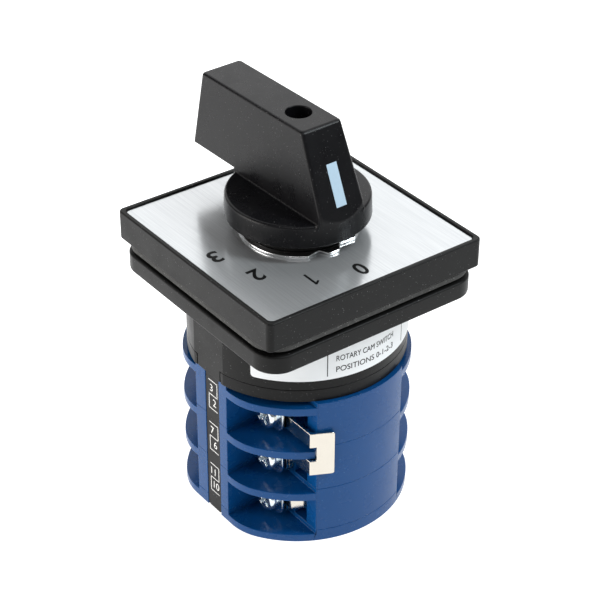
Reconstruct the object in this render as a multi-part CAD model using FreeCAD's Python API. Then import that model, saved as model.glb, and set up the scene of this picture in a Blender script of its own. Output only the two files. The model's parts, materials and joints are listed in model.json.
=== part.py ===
"""Rotary changeover switch: four positions, three contact stages behind a square front plate.

Millimetres, +Z up along the shaft.  The origin is on the shaft axis at the rear face of
the base cover.  +Y is where the handle's pointer stands at position 0, and +X is where it
stands at position 3, a quarter turn clockwise seen from the handle.
"""
import FreeCAD, Part
import math
import os

V = FreeCAD.Vector

# ---------------------------------------------------------------- driving dimensions
# Stack of contact stages
STAGE_COUNT = 3
STAGE_PITCH = 13.5
LIP = 1.3                     # each stage's wall stands this far above its shelf
SHELF = 2.25                  # shelf between two rows of terminals
BASE_PLATE = 2.2
BASE_TOP = BASE_PLATE + LIP
STACK_TOP = BASE_TOP + STAGE_COUNT * STAGE_PITCH
DRUM_R = 29.7
DRUM_FLAT = 27.3              # half width across the two ribs
RIB_HALF = 6.8
POCKET_BACK = 13.5            # back wall of a terminal pocket, from the YZ plane
RECESS_DEPTH = 3.0            # deeper part of that wall, beside the terminal
RECESS_Y = (17.4, 22.4)
GROOVE_Y = 0.5                # number strip grooves in the ribs, a little off the middle
GROOVE_HALF = 2.95
GROOVE_DEPTH = 1.3
BOLT_X = 17.0                 # tie bolts, either side of the shaft
BOLT_HEAD = (0.5, 2.7)

# Shaft, cams and contact carriers
SQUARE = 7.0
HUB_R = 6.42
BORE_R = 6.50
CHAMBER_R = 10.2
CAM_LOW_R = 7.0
CAM_RISE = 2.4
CAM_GAP = 0.2
TURN = math.pi / 2
CARRIER_HALF = 3.2
CARRIER_END = 20.0
CHAMBER_HALF = 9.5
CHAMBER_Y = (15.0, 25.4)
STRIP_Y = (15.4, 16.6)
STRIP_HALF_H = 2.4
CONTACT_TIP = 0.4
BRIDGE_Y = (17.5, 18.7)

# Terminals: places in a quadrant, measured from the shaft axis
TERMINAL_Y = 12.4
PLATE_T = 1.4
PLATE_HALF = 4.4
PLATE_CORNER = 2.0
LINK_T = 0.8
WIRE_GAP = 0.9                # the clamp screws stand open, ready for a wire
WASHER_T = 0.7
LOCK_T = 0.8
HEAD_H = 1.9
CLAMP_HALF = 4.5
CLAMP_CORNER = 2.6
HEAD_R = 3.6
SCREW_R = 1.9
POCKET_ROOF = STAGE_PITCH - LIP - SHELF
TERMINAL_Z = (POCKET_ROOF - LIP) / 2
LINK_FACE = POCKET_BACK + PLATE_T + LINK_T
CLAMP_FACE = LINK_FACE + WIRE_GAP
HEAD_BASE = CLAMP_FACE + WASHER_T + LOCK_T

# Detent mechanism and its housing
HOUSING_R = 28.5
HOUSING_FLAT = 27.8
HOUSING_BASE_T = 3.5
HOUSING_TOP = 62.5
CAVITY_R = 24.0
ROOF_T = 3.0
COLLAR_R = 12.5
STAR_R = 12.0
STAR_DEPTH = 1.4
STAR_POINTS = 12
DETENT_Z = 51.3
PLUNGER_R = 2.5
STOP_Z = (54.6, 57.0)
FLANGE_SCREW = 15.0           # flange screws, from the axis along X and Y
COLLAR_SCREW_R = 10.0

# Front parts
FRONT_HALF = 32.5
FLANGE_T = 5.0
FLANGE_CORNER = 6.7
PANEL_GAP = 1.0
GASKET_T = 1.7
GASKET_HALF = 32.2
GASKET_CORNER = 7.2
BEZEL_T = 8.0
BEZEL_CORNER = 1.6
BEZEL_RIM = 1.4
WEB_T = 3.0
PLATE_RECESS = 0.5
DIAL_T = 1.0
SCREW_PITCH = 48.0            # square of panel screws
PANEL_HOLE_R = 2.25
FLANGE_TOP = HOUSING_TOP + FLANGE_T
GASKET_Z = FLANGE_TOP + PANEL_GAP
BEZEL_Z = GASKET_Z + GASKET_T
BEZEL_TOP = BEZEL_Z + BEZEL_T
DIAL_TOP = BEZEL_TOP - PLATE_RECESS
WEB_TOP = BEZEL_Z + WEB_T
RING_T = 0.8
SEAL_R = 13.9
SEAL_FOOT_R = 12.9
RING_R = 16.1
RING_NOTCH_R = 13.95
RING_BACK_R = 15.0

# Handle
SKIRT_Z = 82.2
SKIRT_R = 18.45
SKIRT_TOP = 88.0
BLADE_TOP = 109.4
BLADE_TOP_Y = (-31.5, 8.9)
BLADE_TOP_HALF = 6.0
BLADE_FOOT_Y = (-34.8, 18.0)
BLADE_FOOT_HALF = 7.0
BLADE_SKEW = 1.3              # degrees that the grip stands off the shaft's square
OVERHANG_Z = 88.8
MARK_Z = (91.2, 101.1)
MARK_HALF = 1.55
WELL_R = 3.25
WELL_FLOOR = 95.0
SHAFT_TOP = 91.9


# ---------------------------------------------------------------- small tools
def box(x, y, z):
    """Box from three (low, high) pairs."""
    return Part.makeBox(x[1] - x[0], y[1] - y[0], z[1] - z[0], V(x[0], y[0], z[0]))


def disc(radius, low, high, x=0.0, y=0.0):
    """Upright cylinder between two heights."""
    return Part.makeCylinder(radius, high - low, V(x, y, low))


def rod(radius, start, length, along):
    """Cylinder from a point along any direction."""
    return Part.makeCylinder(radius, length, V(*start), V(*along))


def tube(outer, inner, low, high):
    return disc(outer, low, high).cut(disc(inner, low, high))


def polygon(points, low, high):
    """Prism on straight edges through (x, y) points."""
    corners = [V(x, y, low) for x, y in points]
    face = Part.Face(Part.makePolygon(corners + corners[:1]))
    return face.extrude(V(0, 0, high - low))


def upright_edges(shape):
    """Edges parallel to the Z axis."""
    found = []
    for edge in shape.Edges:
        ends = [v.Point for v in edge.Vertexes]
        if len(ends) == 2:
            run = ends[1].sub(ends[0])
            if abs(run.x) + abs(run.y) < 1e-6:
                found.append(edge)
    return found


def square_block(half, corner, low, high):
    """Square plate with rounded corners."""
    block = box((-half, half), (-half, half), (low, high))
    return block.makeFillet(corner, upright_edges(block))


def sector(radius, start, end, low, high):
    """Pie slice between two angles in degrees."""
    slice_ = Part.makeCylinder(radius, high - low, V(0, 0, low), V(0, 0, 1), end - start)
    slice_.rotate(V(0, 0, 0), V(0, 0, 1), start)
    return slice_


def turned(shape, degrees, centre=(0, 0, 0), axis=(0, 0, 1)):
    copy = shape.copy()
    copy.rotate(V(*centre), V(*axis), degrees)
    return copy


def joined(shapes):
    """One solid from shapes that meet or overlap."""
    first, rest = shapes[0], shapes[1:]
    return first.fuse(rest).removeSplitter() if rest else first


def square_bar(low, high, grow=0.0):
    half = SQUARE / 2 + grow
    return box((-half, half), (-half, half), (low, high))


def four_quadrants(shape):
    """The shape and its mirror images across the YZ and XZ planes."""
    across = shape.mirror(V(0, 0, 0), V(1, 0, 0))
    pair = [shape, across]
    return pair + [s.mirror(V(0, 0, 0), V(0, 1, 0)) for s in pair]


def coil(radius, wire, length, turns):
    """Compression spring standing on z = 0.  The wire's centre line is a spline helix."""
    rise = length - 2 * wire
    steps = 12 * turns
    points = []
    for k in range(steps + 1):
        angle = 2 * math.pi * turns * k / steps
        points.append(V(radius * math.cos(angle), radius * math.sin(angle),
                        wire + rise * k / steps))
    centre_line = Part.BSplineCurve()
    centre_line.interpolate(points)
    tangent = centre_line.tangent(centre_line.FirstParameter)[0]
    profile = Part.Wire(Part.makeCircle(wire, points[0], tangent))
    return Part.Wire(centre_line.toShape()).makePipeShell([profile], True, True)


def stage_floor(stage):
    """Height of a stage's lower face.  Stage 1 is the one next to the handle."""
    return BASE_TOP + (STAGE_COUNT - stage) * STAGE_PITCH


# ---------------------------------------------------------------- contact stages
def drum(low, high):
    """Round outline with the two ribbed sides cut flat."""
    return disc(DRUM_R, low, high).common(
        box((-DRUM_FLAT, DRUM_FLAT), (-DRUM_R, DRUM_R), (low, high)))


def pocket_space(low, high):
    """The four terminal pockets between two heights."""
    reach = 1.2 * DRUM_R
    return four_quadrants(box((POCKET_BACK, reach), (RIB_HALF, reach), (low, high)))


def strip_groove(low, high):
    """Grooves in both ribs that hold the number strips."""
    groove = box((DRUM_FLAT - GROOVE_DEPTH, DRUM_FLAT + 1),
                 (GROOVE_Y - GROOVE_HALF, GROOVE_Y + GROOVE_HALF), (low, high))
    return [groove, groove.mirror(V(0, 0, 0), V(1, 0, 0))]


def bolt_holes(low, high, radius=2.0):
    return [disc(radius, low, high, x=side * BOLT_X) for side in (-1, 1)]


def stage_housing(floor):
    """Moulded stage: outer wall, shelf over the terminals, cam and contact chambers."""
    top = floor + STAGE_PITCH
    roof = floor + POCKET_ROOF
    middle = floor + TERMINAL_Z
    height = (floor, roof)
    cuts = pocket_space(floor, roof) + pocket_space(top - LIP, top)
    cuts += strip_groove(floor, top) + bolt_holes(floor, top)
    recess = box((POCKET_BACK - RECESS_DEPTH, POCKET_BACK), RECESS_Y, height)
    cuts += four_quadrants(recess)
    screw_bore = rod(2.2, (10.3, TERMINAL_Y, middle), 4, (1, 0, 0))
    cuts += four_quadrants(screw_bore)
    slot = box((CHAMBER_HALF - 1, POCKET_BACK),
               (STRIP_Y[0] - 0.05, STRIP_Y[1] + 0.05),
               (middle - STRIP_HALF_H - 0.05, middle + STRIP_HALF_H + 0.05))
    cuts += four_quadrants(slot)
    cuts.append(disc(CHAMBER_R, floor, roof))
    cuts.append(disc(BORE_R, roof - 1, top))
    half = CARRIER_HALF + 0.1
    for side in (1, -1):
        guide = box((-half, half), (CHAMBER_R - 2, CHAMBER_Y[0] + 1), height)
        chamber = box((-CHAMBER_HALF, CHAMBER_HALF), CHAMBER_Y, height)
        for hollow in (guide, chamber):
            cuts.append(hollow if side > 0 else hollow.mirror(V(0, 0, 0), V(0, 1, 0)))
    return drum(floor, top).cut(cuts)


def base_cover():
    """Rear cover: the lowest shelf, the shaft's end bearing and the bolt recesses."""
    cuts = pocket_space(BASE_PLATE, BASE_TOP) + strip_groove(0, BASE_TOP)
    cuts += bolt_holes(0, BASE_TOP) + bolt_holes(0, BOLT_HEAD[1], radius=3.7)
    cuts.append(disc(BORE_R, 1.5, BASE_TOP))
    return drum(0, BASE_TOP).cut(cuts)


def tie_bolts():
    """Two long bolts from the base cover up into the mechanism housing."""
    bolts = []
    for side in (-1, 1):
        x = side * BOLT_X
        head = disc(3.5, BOLT_HEAD[0], BOLT_HEAD[1], x=x)
        slot = box((x - 2.6, x + 2.6), (-0.5, 0.5), (BOLT_HEAD[0], BOLT_HEAD[0] + 1))
        shank = disc(1.9, BOLT_HEAD[1], STACK_TOP + HOUSING_BASE_T + 3.4, x=x)
        bolts.append(joined([head, shank]).cut(slot))
    return Part.makeCompound(bolts)


def number_strip(side):
    """Flat strip down one rib, rounded at its lower end."""
    half = GROOVE_HALF - 0.05
    strip = box((DRUM_FLAT - 1.25, DRUM_FLAT - 0.15), (GROOVE_Y - half, GROOVE_Y + half),
                (0.2, STACK_TOP))
    low_edges = [e for e in strip.Edges
                 if abs(e.BoundBox.ZMax - 0.2) < 1e-6 and e.BoundBox.XLength > 0.5
                 and e.BoundBox.YLength < 1e-6]
    strip = strip.makeFillet(1.8, low_edges)
    return strip if side > 0 else strip.mirror(V(0, 0, 0), V(1, 0, 0))


# ---------------------------------------------------------------- terminals and contacts
def terminal(middle):
    """Screw plate, the strip through the wall and its contact tip, in the +X +Y quadrant."""
    plate_x = (POCKET_BACK, POCKET_BACK + PLATE_T)
    plate = box(plate_x, (TERMINAL_Y - PLATE_HALF, TERMINAL_Y + PLATE_HALF),
                (middle - PLATE_HALF, middle + PLATE_HALF))
    plate = plate.makeFillet(PLATE_CORNER, [e for e in plate.Edges if e.BoundBox.XLength > 0.5])
    height = (middle - STRIP_HALF_H, middle + STRIP_HALF_H)
    strip = box((4.6, POCKET_BACK + 0.5), STRIP_Y, height)
    tip = box((5.6, 8.2), (STRIP_Y[1], STRIP_Y[1] + CONTACT_TIP), (middle - 1.6, middle + 1.6))
    hole = rod(1.95, (POCKET_BACK - 1, TERMINAL_Y, middle), 4, (1, 0, 0))
    return joined([plate, strip, tip]).cut(hole)


def terminals(floor):
    return Part.makeCompound(four_quadrants(terminal(floor + TERMINAL_Z)))


def clamp_washer(middle):
    """Square clamp plate with large round corners."""
    x = CLAMP_FACE
    plate = box((x, x + WASHER_T), (TERMINAL_Y - CLAMP_HALF, TERMINAL_Y + CLAMP_HALF),
                (middle - CLAMP_HALF, middle + CLAMP_HALF))
    edges = [e for e in plate.Edges if e.BoundBox.XLength > 0.5]
    plate = plate.makeFillet(CLAMP_CORNER, edges)
    return plate.cut(rod(2.0, (x - 1, TERMINAL_Y, middle), 3, (1, 0, 0)))


def spring_washer(middle):
    """Split lock washer under the screw head."""
    x = CLAMP_FACE + WASHER_T
    ring = rod(3.1, (x, TERMINAL_Y, middle), LOCK_T, (1, 0, 0))
    ring = ring.cut(rod(2.0, (x, TERMINAL_Y, middle), LOCK_T, (1, 0, 0)))
    split = box((x, x + LOCK_T), (TERMINAL_Y - 0.3, TERMINAL_Y + 0.3), (middle + 1, middle + 4))
    return ring.cut(split)


def terminal_screw(middle):
    """Pan head screw with a cross recess, pointing towards the shaft."""
    x = HEAD_BASE
    head = rod(HEAD_R, (x, TERMINAL_Y, middle), HEAD_H, (1, 0, 0))
    rim = [e for e in head.Edges if e.BoundBox.XMin > x + HEAD_H - 1e-6]
    head = head.makeFillet(0.9, rim)
    shank = rod(SCREW_R, (11.0, TERMINAL_Y, middle), x - 11.0, (1, 0, 0))
    depth = (x + HEAD_H - 1.2, x + HEAD_H + 1)
    flat = box(depth, (TERMINAL_Y - 2.3, TERMINAL_Y + 2.3), (middle - 0.45, middle + 0.45))
    cross = turned(flat, 90, (x, TERMINAL_Y, middle), (1, 0, 0))
    slot = joined([flat, cross])
    return joined([head, shank]).cut(turned(slot, 25, (x, TERMINAL_Y, middle), (1, 0, 0)))


def all_stages(make):
    """A fastener of every terminal on every stage, as one group of separate solids."""
    group = []
    for stage in range(1, STAGE_COUNT + 1):
        group += four_quadrants(make(stage_floor(stage) + TERMINAL_Z))
    return Part.makeCompound(group)


def contact_bridge(floor, side, shift):
    """Moving contact that joins the two fixed strips of one side."""
    middle = floor + TERMINAL_Z
    low, high = BRIDGE_Y[0] + shift, BRIDGE_Y[1] + shift
    bar = box((-8.6, 8.6), (low, high), (middle - 2.2, middle + 2.2))
    tips = [box(x, (low - CONTACT_TIP, low), (middle - 1.5, middle + 1.5))
            for x in ((-8.0, -5.8), (5.8, 8.0))]
    bridge = joined([bar] + tips)
    return bridge if side > 0 else bridge.mirror(V(0, 0, 0), V(0, 1, 0))


def carrier(floor, side, shift):
    """Sliding cam follower: rounded nose on the cam, window for the contact bridge."""
    middle = floor + TERMINAL_Z
    nose = CAM_LOW_R + CAM_GAP + shift
    height = (floor + 0.1, floor + POCKET_ROOF - 0.1)
    body = box((-CARRIER_HALF, CARRIER_HALF), (nose + CARRIER_HALF, CARRIER_END + shift), height)
    front = disc(CARRIER_HALF, height[0], height[1], y=nose + CARRIER_HALF)
    window = box((-CARRIER_HALF, CARRIER_HALF), (BRIDGE_Y[0] + shift, BRIDGE_Y[1] + shift),
                 (middle - 2.2, middle + 2.2))
    slider = joined([body, front]).cut(window)
    return slider if side > 0 else slider.mirror(V(0, 0, 0), V(0, 1, 0))


def contact_spring(floor, side, shift):
    """Return spring between a carrier and the stage's outer wall."""
    length = CHAMBER_Y[1] - CARRIER_END - shift - 0.1
    spring = coil(2.4, 0.3, length, 3)
    spring.rotate(V(0, 0, 0), V(1, 0, 0), -90)
    spring.translate(V(0, CARRIER_END + shift + 0.05, floor + POCKET_ROOF / 2))
    return spring if side > 0 else spring.mirror(V(0, 0, 0), V(0, 1, 0))


def spiral(start_angle, start_r, end_r, z):
    """Edge of a quarter turn whose radius changes evenly with the angle."""
    steps = 8
    points = []
    for k in range(steps + 1):
        share = k / steps
        radius = start_r + (end_r - start_r) * share
        angle = start_angle + TURN * share
        points.append(V(radius * math.cos(angle), radius * math.sin(angle), z))
    curve = Part.BSplineCurve()
    curve.interpolate(points)
    return curve.toShape()


def cam(floor, rising):
    """Two-lobed cam on a round hub.  A rising cam pushes its carriers out as it turns."""
    low, high = floor + 0.6, floor + POCKET_ROOF - 0.55
    peak = CAM_LOW_R + CAM_RISE
    edges = []
    for k in range(4):
        climbs = (k % 2 == 1) == rising
        ends = (CAM_LOW_R, peak) if climbs else (peak, CAM_LOW_R)
        edges.append(spiral(k * TURN, ends[0], ends[1], low))
    lobes = Part.Face(Part.Wire(edges)).extrude(V(0, 0, high - low))
    hub = disc(HUB_R, high, floor + STAGE_PITCH + 0.5)
    return joined([lobes, hub]).cut(square_bar(low - 1, high + STAGE_PITCH))


# ---------------------------------------------------------------- links between terminals
def link_tab(middle):
    """Flat end of a link, clamped under a terminal screw."""
    tab = box((LINK_FACE - LINK_T, LINK_FACE), (TERMINAL_Y - 4.2, TERMINAL_Y + 4.2),
              (middle - 4.2, middle + 4.2))
    edges = [e for e in tab.Edges if e.BoundBox.XLength > 0.5]
    return tab.makeFillet(1.5, edges)


def link_arm(bend_y, width, low, high):
    """Strip standing on edge: out along +Y, then bent round the drum's outer wall."""
    outer = LINK_FACE
    lean = math.radians(27)
    far = (outer - width * math.cos(lean), bend_y + width * math.sin(lean))
    inner_bend = bend_y - LINK_T * (1 - math.sin(lean)) / math.cos(lean)
    profile = [(outer, TERMINAL_Y + 3), (outer, bend_y), far,
               (far[0] - LINK_T * math.sin(lean), far[1] - LINK_T * math.cos(lean)),
               (outer - LINK_T, inner_bend), (outer - LINK_T, TERMINAL_Y + 3)]
    arm = polygon(profile, low, high)
    ends = [e for e in arm.Edges if e.BoundBox.XMax < far[0] + 1e-6
            and e.BoundBox.ZLength < 1e-6]
    return arm.makeFillet(1.0, ends)


def jumper_link():
    """Link from the +X +Y terminal of stage 1 to that of stage 2, round the shelf's edge."""
    shelf_low = stage_floor(2) + POCKET_ROOF
    arm_height = 4.3
    low = shelf_low - 0.1 - arm_height
    high = shelf_low + SHELF + 2.0 + arm_height
    arm = link_arm(26.45, 6.3, low, high)
    notch = box((14.1, 17), (0, 40), (shelf_low - 0.1, high - arm_height))
    tabs = [link_tab(stage_floor(stage) + TERMINAL_Z) for stage in (1, 2)]
    holes = [rod(2.0, (13, TERMINAL_Y, stage_floor(stage) + TERMINAL_Z), 4, (1, 0, 0))
             for stage in (1, 2)]
    return joined(tabs + [arm.cut(notch)]).cut(holes)


def end_link():
    """Short link under the +X +Y terminal of stage 3, bent back into the recess beside it."""
    middle = stage_floor(3) + TERMINAL_Z
    arm = link_arm(TERMINAL_Y + 6.2, 4.1, middle - 1.5, middle + 3.8)
    hole = rod(2.0, (13, TERMINAL_Y, middle), 4, (1, 0, 0))
    return joined([link_tab(middle), arm]).cut(hole)


# ---------------------------------------------------------------- detent mechanism
def flatted(radius, flat, low, high):
    """Cylinder with a flat on each of its two X sides."""
    return disc(radius, low, high).common(
        box((-flat, flat), (-radius, radius), (low, high)))


def housing_base():
    """Floor of the detent mechanism, on top of the contact stages."""
    low, high = STACK_TOP, STACK_TOP + HOUSING_BASE_T
    plate = flatted(HOUSING_R, HOUSING_FLAT, low, high)
    return plate.cut([disc(BORE_R, low, high)] + bolt_holes(low, high))


def mechanism_housing():
    """Round cup over the star wheel, with plunger guides, stop posts and a front collar."""
    low, roof = STACK_TOP + HOUSING_BASE_T, HOUSING_TOP - ROOF_T
    shell = flatted(HOUSING_R, HOUSING_FLAT, low, HOUSING_TOP)
    shell = shell.cut(disc(CAVITY_R, low, roof))
    guides = []
    for side in (-1, 1):
        reach = sorted((side * 14.5, side * (CAVITY_R + 0.5)))
        guides.append(box((-4.5, 4.5), reach, (DETENT_Z - 3.7, DETENT_Z + 4.0)))
    posts = [sector(13.2, 233.7, 247, STOP_Z[0], roof), sector(13.2, 113, 126.3, STOP_Z[0], roof)]
    posts = [post.cut(disc(9.6, STOP_Z[0], roof)) for post in posts]
    collar = disc(COLLAR_R, HOUSING_TOP, BEZEL_Z)
    shell = joined([shell] + guides + posts + [collar])
    cuts = [disc(BORE_R, roof - 1, BEZEL_Z + 1)]
    for side in (-1, 1):
        cuts.append(rod(PLUNGER_R + 0.1, (0, side * 14, DETENT_Z), 9.5, (0, side, 0)))
        cuts.append(disc(1.95, low, HOUSING_TOP - ROOF_T, x=side * BOLT_X))
    cuts += collar_screw_shanks(1.45)
    cuts += flange_screw_shanks(1.45)
    return shell.cut(cuts)


def star_wheel():
    """Toothed detent wheel with one notch every thirty degrees."""
    low, high = DETENT_Z - 3.0, DETENT_Z + 3.0
    wheel = disc(STAR_R, low, high)
    notch_r = 3.0
    step = 360 / STAR_POINTS
    centre = STAR_R - STAR_DEPTH + notch_r
    notches = [disc(notch_r, low, high, x=centre * math.cos(math.radians(k * step)),
                    y=centre * math.sin(math.radians(k * step))) for k in range(STAR_POINTS)]
    return wheel.cut(notches + [square_bar(low, high)])


def detent_plunger(side):
    """Round-nosed plunger that drops into the star wheel's notches."""
    nose = STAR_R + 0.3
    body = rod(PLUNGER_R, (0, nose, DETENT_Z), 6.0, (0, 1, 0))
    tip = [e for e in body.Edges if e.BoundBox.YMax < nose + 1e-6]
    body = body.makeFillet(1.8, tip)
    return body if side > 0 else body.mirror(V(0, 0, 0), V(0, 1, 0))


def detent_spring(side):
    start = STAR_R + 0.3 + 6.0 + 0.05
    spring = coil(1.9, 0.3, 23.45 - start, 5)
    spring.rotate(V(0, 0, 0), V(1, 0, 0), -90)
    spring.translate(V(0, start, DETENT_Z))
    return spring if side > 0 else spring.mirror(V(0, 0, 0), V(0, 1, 0))


def stop_disc():
    """Disc with one lug that meets the housing's stop posts at 0 and at 90 degrees."""
    low, high = STOP_Z[0] + 0.2, STOP_Z[1]
    lug = sector(12.9, 217, 233, low, high)
    return joined([disc(9.0, low, high), lug]).cut(square_bar(low, high))


# ---------------------------------------------------------------- shaft line
def shaft():
    """Square shaft through every cam up into the handle, with a tapped front end."""
    return square_bar(1.7, SHAFT_TOP).cut(disc(1.95, 84.0, SHAFT_TOP))


def end_bush():
    """Round journal of the shaft's rear end, in the base cover."""
    return disc(HUB_R, 1.7, BASE_TOP + 0.5).cut(square_bar(1, BASE_TOP + 1))


def front_bush():
    """Round journal through the housing collar and the seal."""
    return disc(HUB_R, STOP_Z[1] + 0.2, 81.8).cut(square_bar(50, 90))


# ---------------------------------------------------------------- front parts
def flange_screw_places():
    return [(x, y) for x in (-FLANGE_SCREW, FLANGE_SCREW) for y in (-FLANGE_SCREW, FLANGE_SCREW)]


def flange_screw_shanks(radius):
    return [disc(radius, 60.0, 65.6, x=x, y=y) for x, y in flange_screw_places()]


def flange_screws():
    """Countersunk screws that hold the flange on the housing."""
    screws = []
    for x, y in flange_screw_places():
        cone = Part.makeCone(1.4, 2.8, 1.7, V(x, y, 65.6))
        shank = disc(1.4, 60.2, 65.6, x=x, y=y)
        slot = box((x - 3, x + 3), (y - 0.35, y + 0.35), (66.7, 68))
        screws.append(joined([cone, shank]).cut(slot))
    return Part.makeCompound(screws)


def mounting_flange():
    """Square plate that lies behind the panel."""
    plate = square_block(FRONT_HALF, FLANGE_CORNER, HOUSING_TOP, FLANGE_TOP)
    rims = [e for e in plate.Edges if e.BoundBox.ZLength < 1e-6]
    plate = plate.makeFillet(0.5, rims)
    cuts = [disc(COLLAR_R + 0.05, HOUSING_TOP, FLANGE_TOP)]
    cuts += panel_holes(HOUSING_TOP, FLANGE_TOP)
    for x, y in flange_screw_places():
        cuts.append(disc(1.45, HOUSING_TOP, FLANGE_TOP, x=x, y=y))
        cuts.append(Part.makeCone(1.45, 2.85, 1.7, V(x, y, 65.6)))
        cuts.append(disc(2.85, 67.3, FLANGE_TOP, x=x, y=y))
    return plate.cut(cuts)


def panel_holes(low, high, radius=PANEL_HOLE_R):
    half = SCREW_PITCH / 2
    return [disc(radius, low, high, x=x, y=y) for x in (-half, half) for y in (-half, half)]


def gasket():
    """Rubber gasket between the bezel and the panel."""
    sheet = square_block(GASKET_HALF, GASKET_CORNER, GASKET_Z, BEZEL_Z)
    cuts = panel_holes(GASKET_Z, BEZEL_Z, PANEL_HOLE_R + 0.35)
    cuts.append(disc(COLLAR_R + 0.1, GASKET_Z, BEZEL_Z))
    return sheet.cut(cuts)


def bezel():
    """Square front frame: web, ledge for the dial plate, and a raised rim."""
    block = square_block(FRONT_HALF, BEZEL_CORNER, BEZEL_Z, BEZEL_TOP)
    rims = [e for e in block.Edges if e.BoundBox.ZLength < 1e-6]
    block = block.makeFillet(0.5, rims)
    window = FRONT_HALF - BEZEL_RIM
    ledge = DIAL_TOP - DIAL_T
    cuts = [square_block(window, 1.2, ledge, BEZEL_TOP + 1)]
    hollow = square_block(window - 2.0, 1.2, WEB_TOP, ledge)
    half = SCREW_PITCH / 2
    bosses = [disc(5.2, WEB_TOP, ledge, x=x, y=y) for x in (-half, half) for y in (-half, half)]
    cuts.append(hollow.cut(bosses + [disc(16.5, WEB_TOP, ledge)]))
    cuts.append(disc(SEAL_FOOT_R + 0.1, WEB_TOP, ledge))
    cuts.append(disc(BORE_R, BEZEL_Z, WEB_TOP))
    cuts += panel_holes(BEZEL_Z, BEZEL_Z + 5.0)
    cuts += collar_screw_shanks(1.5)
    return block.cut(cuts)


def collar_screw_places():
    return [(COLLAR_SCREW_R * math.cos(math.radians(a)), COLLAR_SCREW_R * math.sin(math.radians(a)))
            for a in (45, 135, 225, 315)]


def collar_screw_shanks(radius):
    return [disc(radius, 64.0, 80.0, x=x, y=y) for x, y in collar_screw_places()]


def collar_screws():
    """Screws through the seal collar and the bezel into the housing collar."""
    screws = []
    for x, y in collar_screw_places():
        head = disc(2.6, 79.6, 81.6, x=x, y=y)
        slot = box((x - 3, x + 3), (y - 0.35, y + 0.35), (80.8, 82))
        screws.append(joined([head, disc(1.4, 64.2, 79.6, x=x, y=y)]).cut(slot))
    return Part.makeCompound(screws)


def seal_collar():
    """Black collar on the bezel that carries the shaft seal, under the handle's skirt."""
    foot = disc(SEAL_FOOT_R, WEB_TOP, DIAL_TOP + RING_T)
    head = disc(SEAL_R, DIAL_TOP + RING_T + 0.05, 81.9)
    neck = disc(SEAL_FOOT_R, DIAL_TOP + RING_T, DIAL_TOP + RING_T + 0.05)
    cuts = [disc(BORE_R, WEB_TOP, 82), tube(8.4, BORE_R, 73.9, 76.0)]
    cuts += collar_screw_shanks(1.5)
    cuts += [disc(2.8, 79.6, 82, x=x, y=y) for x, y in collar_screw_places()]
    return joined([foot, neck, head]).cut(cuts)


def shaft_seal():
    """Rubber ring between the seal collar and the front bush."""
    return tube(8.35, HUB_R + 0.06, 74.0, 75.9)


def dial_plate():
    """Metal plate that carries the position numbers."""
    plate = square_block(FRONT_HALF - BEZEL_RIM - 0.1, 1.1, DIAL_TOP - DIAL_T, DIAL_TOP)
    return plate.cut(disc(SEAL_FOOT_R + 0.1, DIAL_TOP - DIAL_T, DIAL_TOP))


def dial_point(radius, clockwise):
    """Point at an angle measured clockwise from the pointer's position 0."""
    angle = math.radians(90 - clockwise)
    return V(radius * math.cos(angle), radius * math.sin(angle), DIAL_TOP)


def stop_ring():
    """Bright notched ring on the dial plate, round the foot of the seal collar."""
    wide, notch = RING_R, RING_NOTCH_R
    back = dial_point(RING_BACK_R, 110)
    steps = [dial_point(wide, 38), dial_point(wide, 28), dial_point(notch, 15),
             dial_point(wide, 9), dial_point(wide, -3), dial_point(notch, -10),
             dial_point(wide - 0.4, -28)]
    edges = [Part.LineSegment(steps[0], steps[1]).toShape(),
             Part.LineSegment(steps[1], steps[2]).toShape(),
             Part.LineSegment(steps[2], steps[3]).toShape(),
             Part.Arc(steps[3], dial_point(wide, 3), steps[4]).toShape(),
             Part.LineSegment(steps[4], steps[5]).toShape(),
             Part.LineSegment(steps[5], steps[6]).toShape(),
             Part.Arc(steps[6], dial_point(RING_BACK_R, 190), back).toShape(),
             Part.Arc(back, dial_point(wide - 0.3, 68), steps[0]).toShape()]
    ring = Part.Face(Part.Wire(Part.__sortEdges__(edges))).extrude(V(0, 0, RING_T))
    return ring.cut(disc(SEAL_FOOT_R + 0.1, DIAL_TOP, DIAL_TOP + RING_T))


def side_label():
    """Thin curved label on the +Y side of the mechanism housing."""
    low, high = 50.3, 60.8
    band = tube(HOUSING_R + 0.2, HOUSING_R, low, high)
    return band.common(sector(HOUSING_R + 2, 29.6, 150.4, low, high))


# ---------------------------------------------------------------- handle
def blade():
    """Tapered grip whose sides lean in towards the top, trimmed to the skirt in front."""
    low = SKIRT_TOP - 1.0
    foot = [V(x, y, low) for x, y in blade_corners(low)]
    top = [V(x, y, BLADE_TOP) for x, y in blade_corners(BLADE_TOP)]
    wires = [Part.makePolygon(c + c[:1]) for c in (foot, top)]
    body = Part.makeLoft(wires, True, True)
    long_edges = [e for e in body.Edges if e.BoundBox.ZLength > 10]
    body = body.makeFillet(0.9, long_edges)
    crown = [e for e in body.Edges if e.BoundBox.ZMin > BLADE_TOP - 1e-6]
    body = body.makeFillet(0.7, crown)
    rear = box((-20, 20), (-60, -SKIRT_R + 1.2), (low - 1, OVERHANG_Z))
    front = box((-20, 20), (0, 40), (low - 1, BLADE_TOP)).cut(
        disc(SKIRT_R - 0.25, low - 1, BLADE_TOP))
    return body.cut([rear, front])


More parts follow.
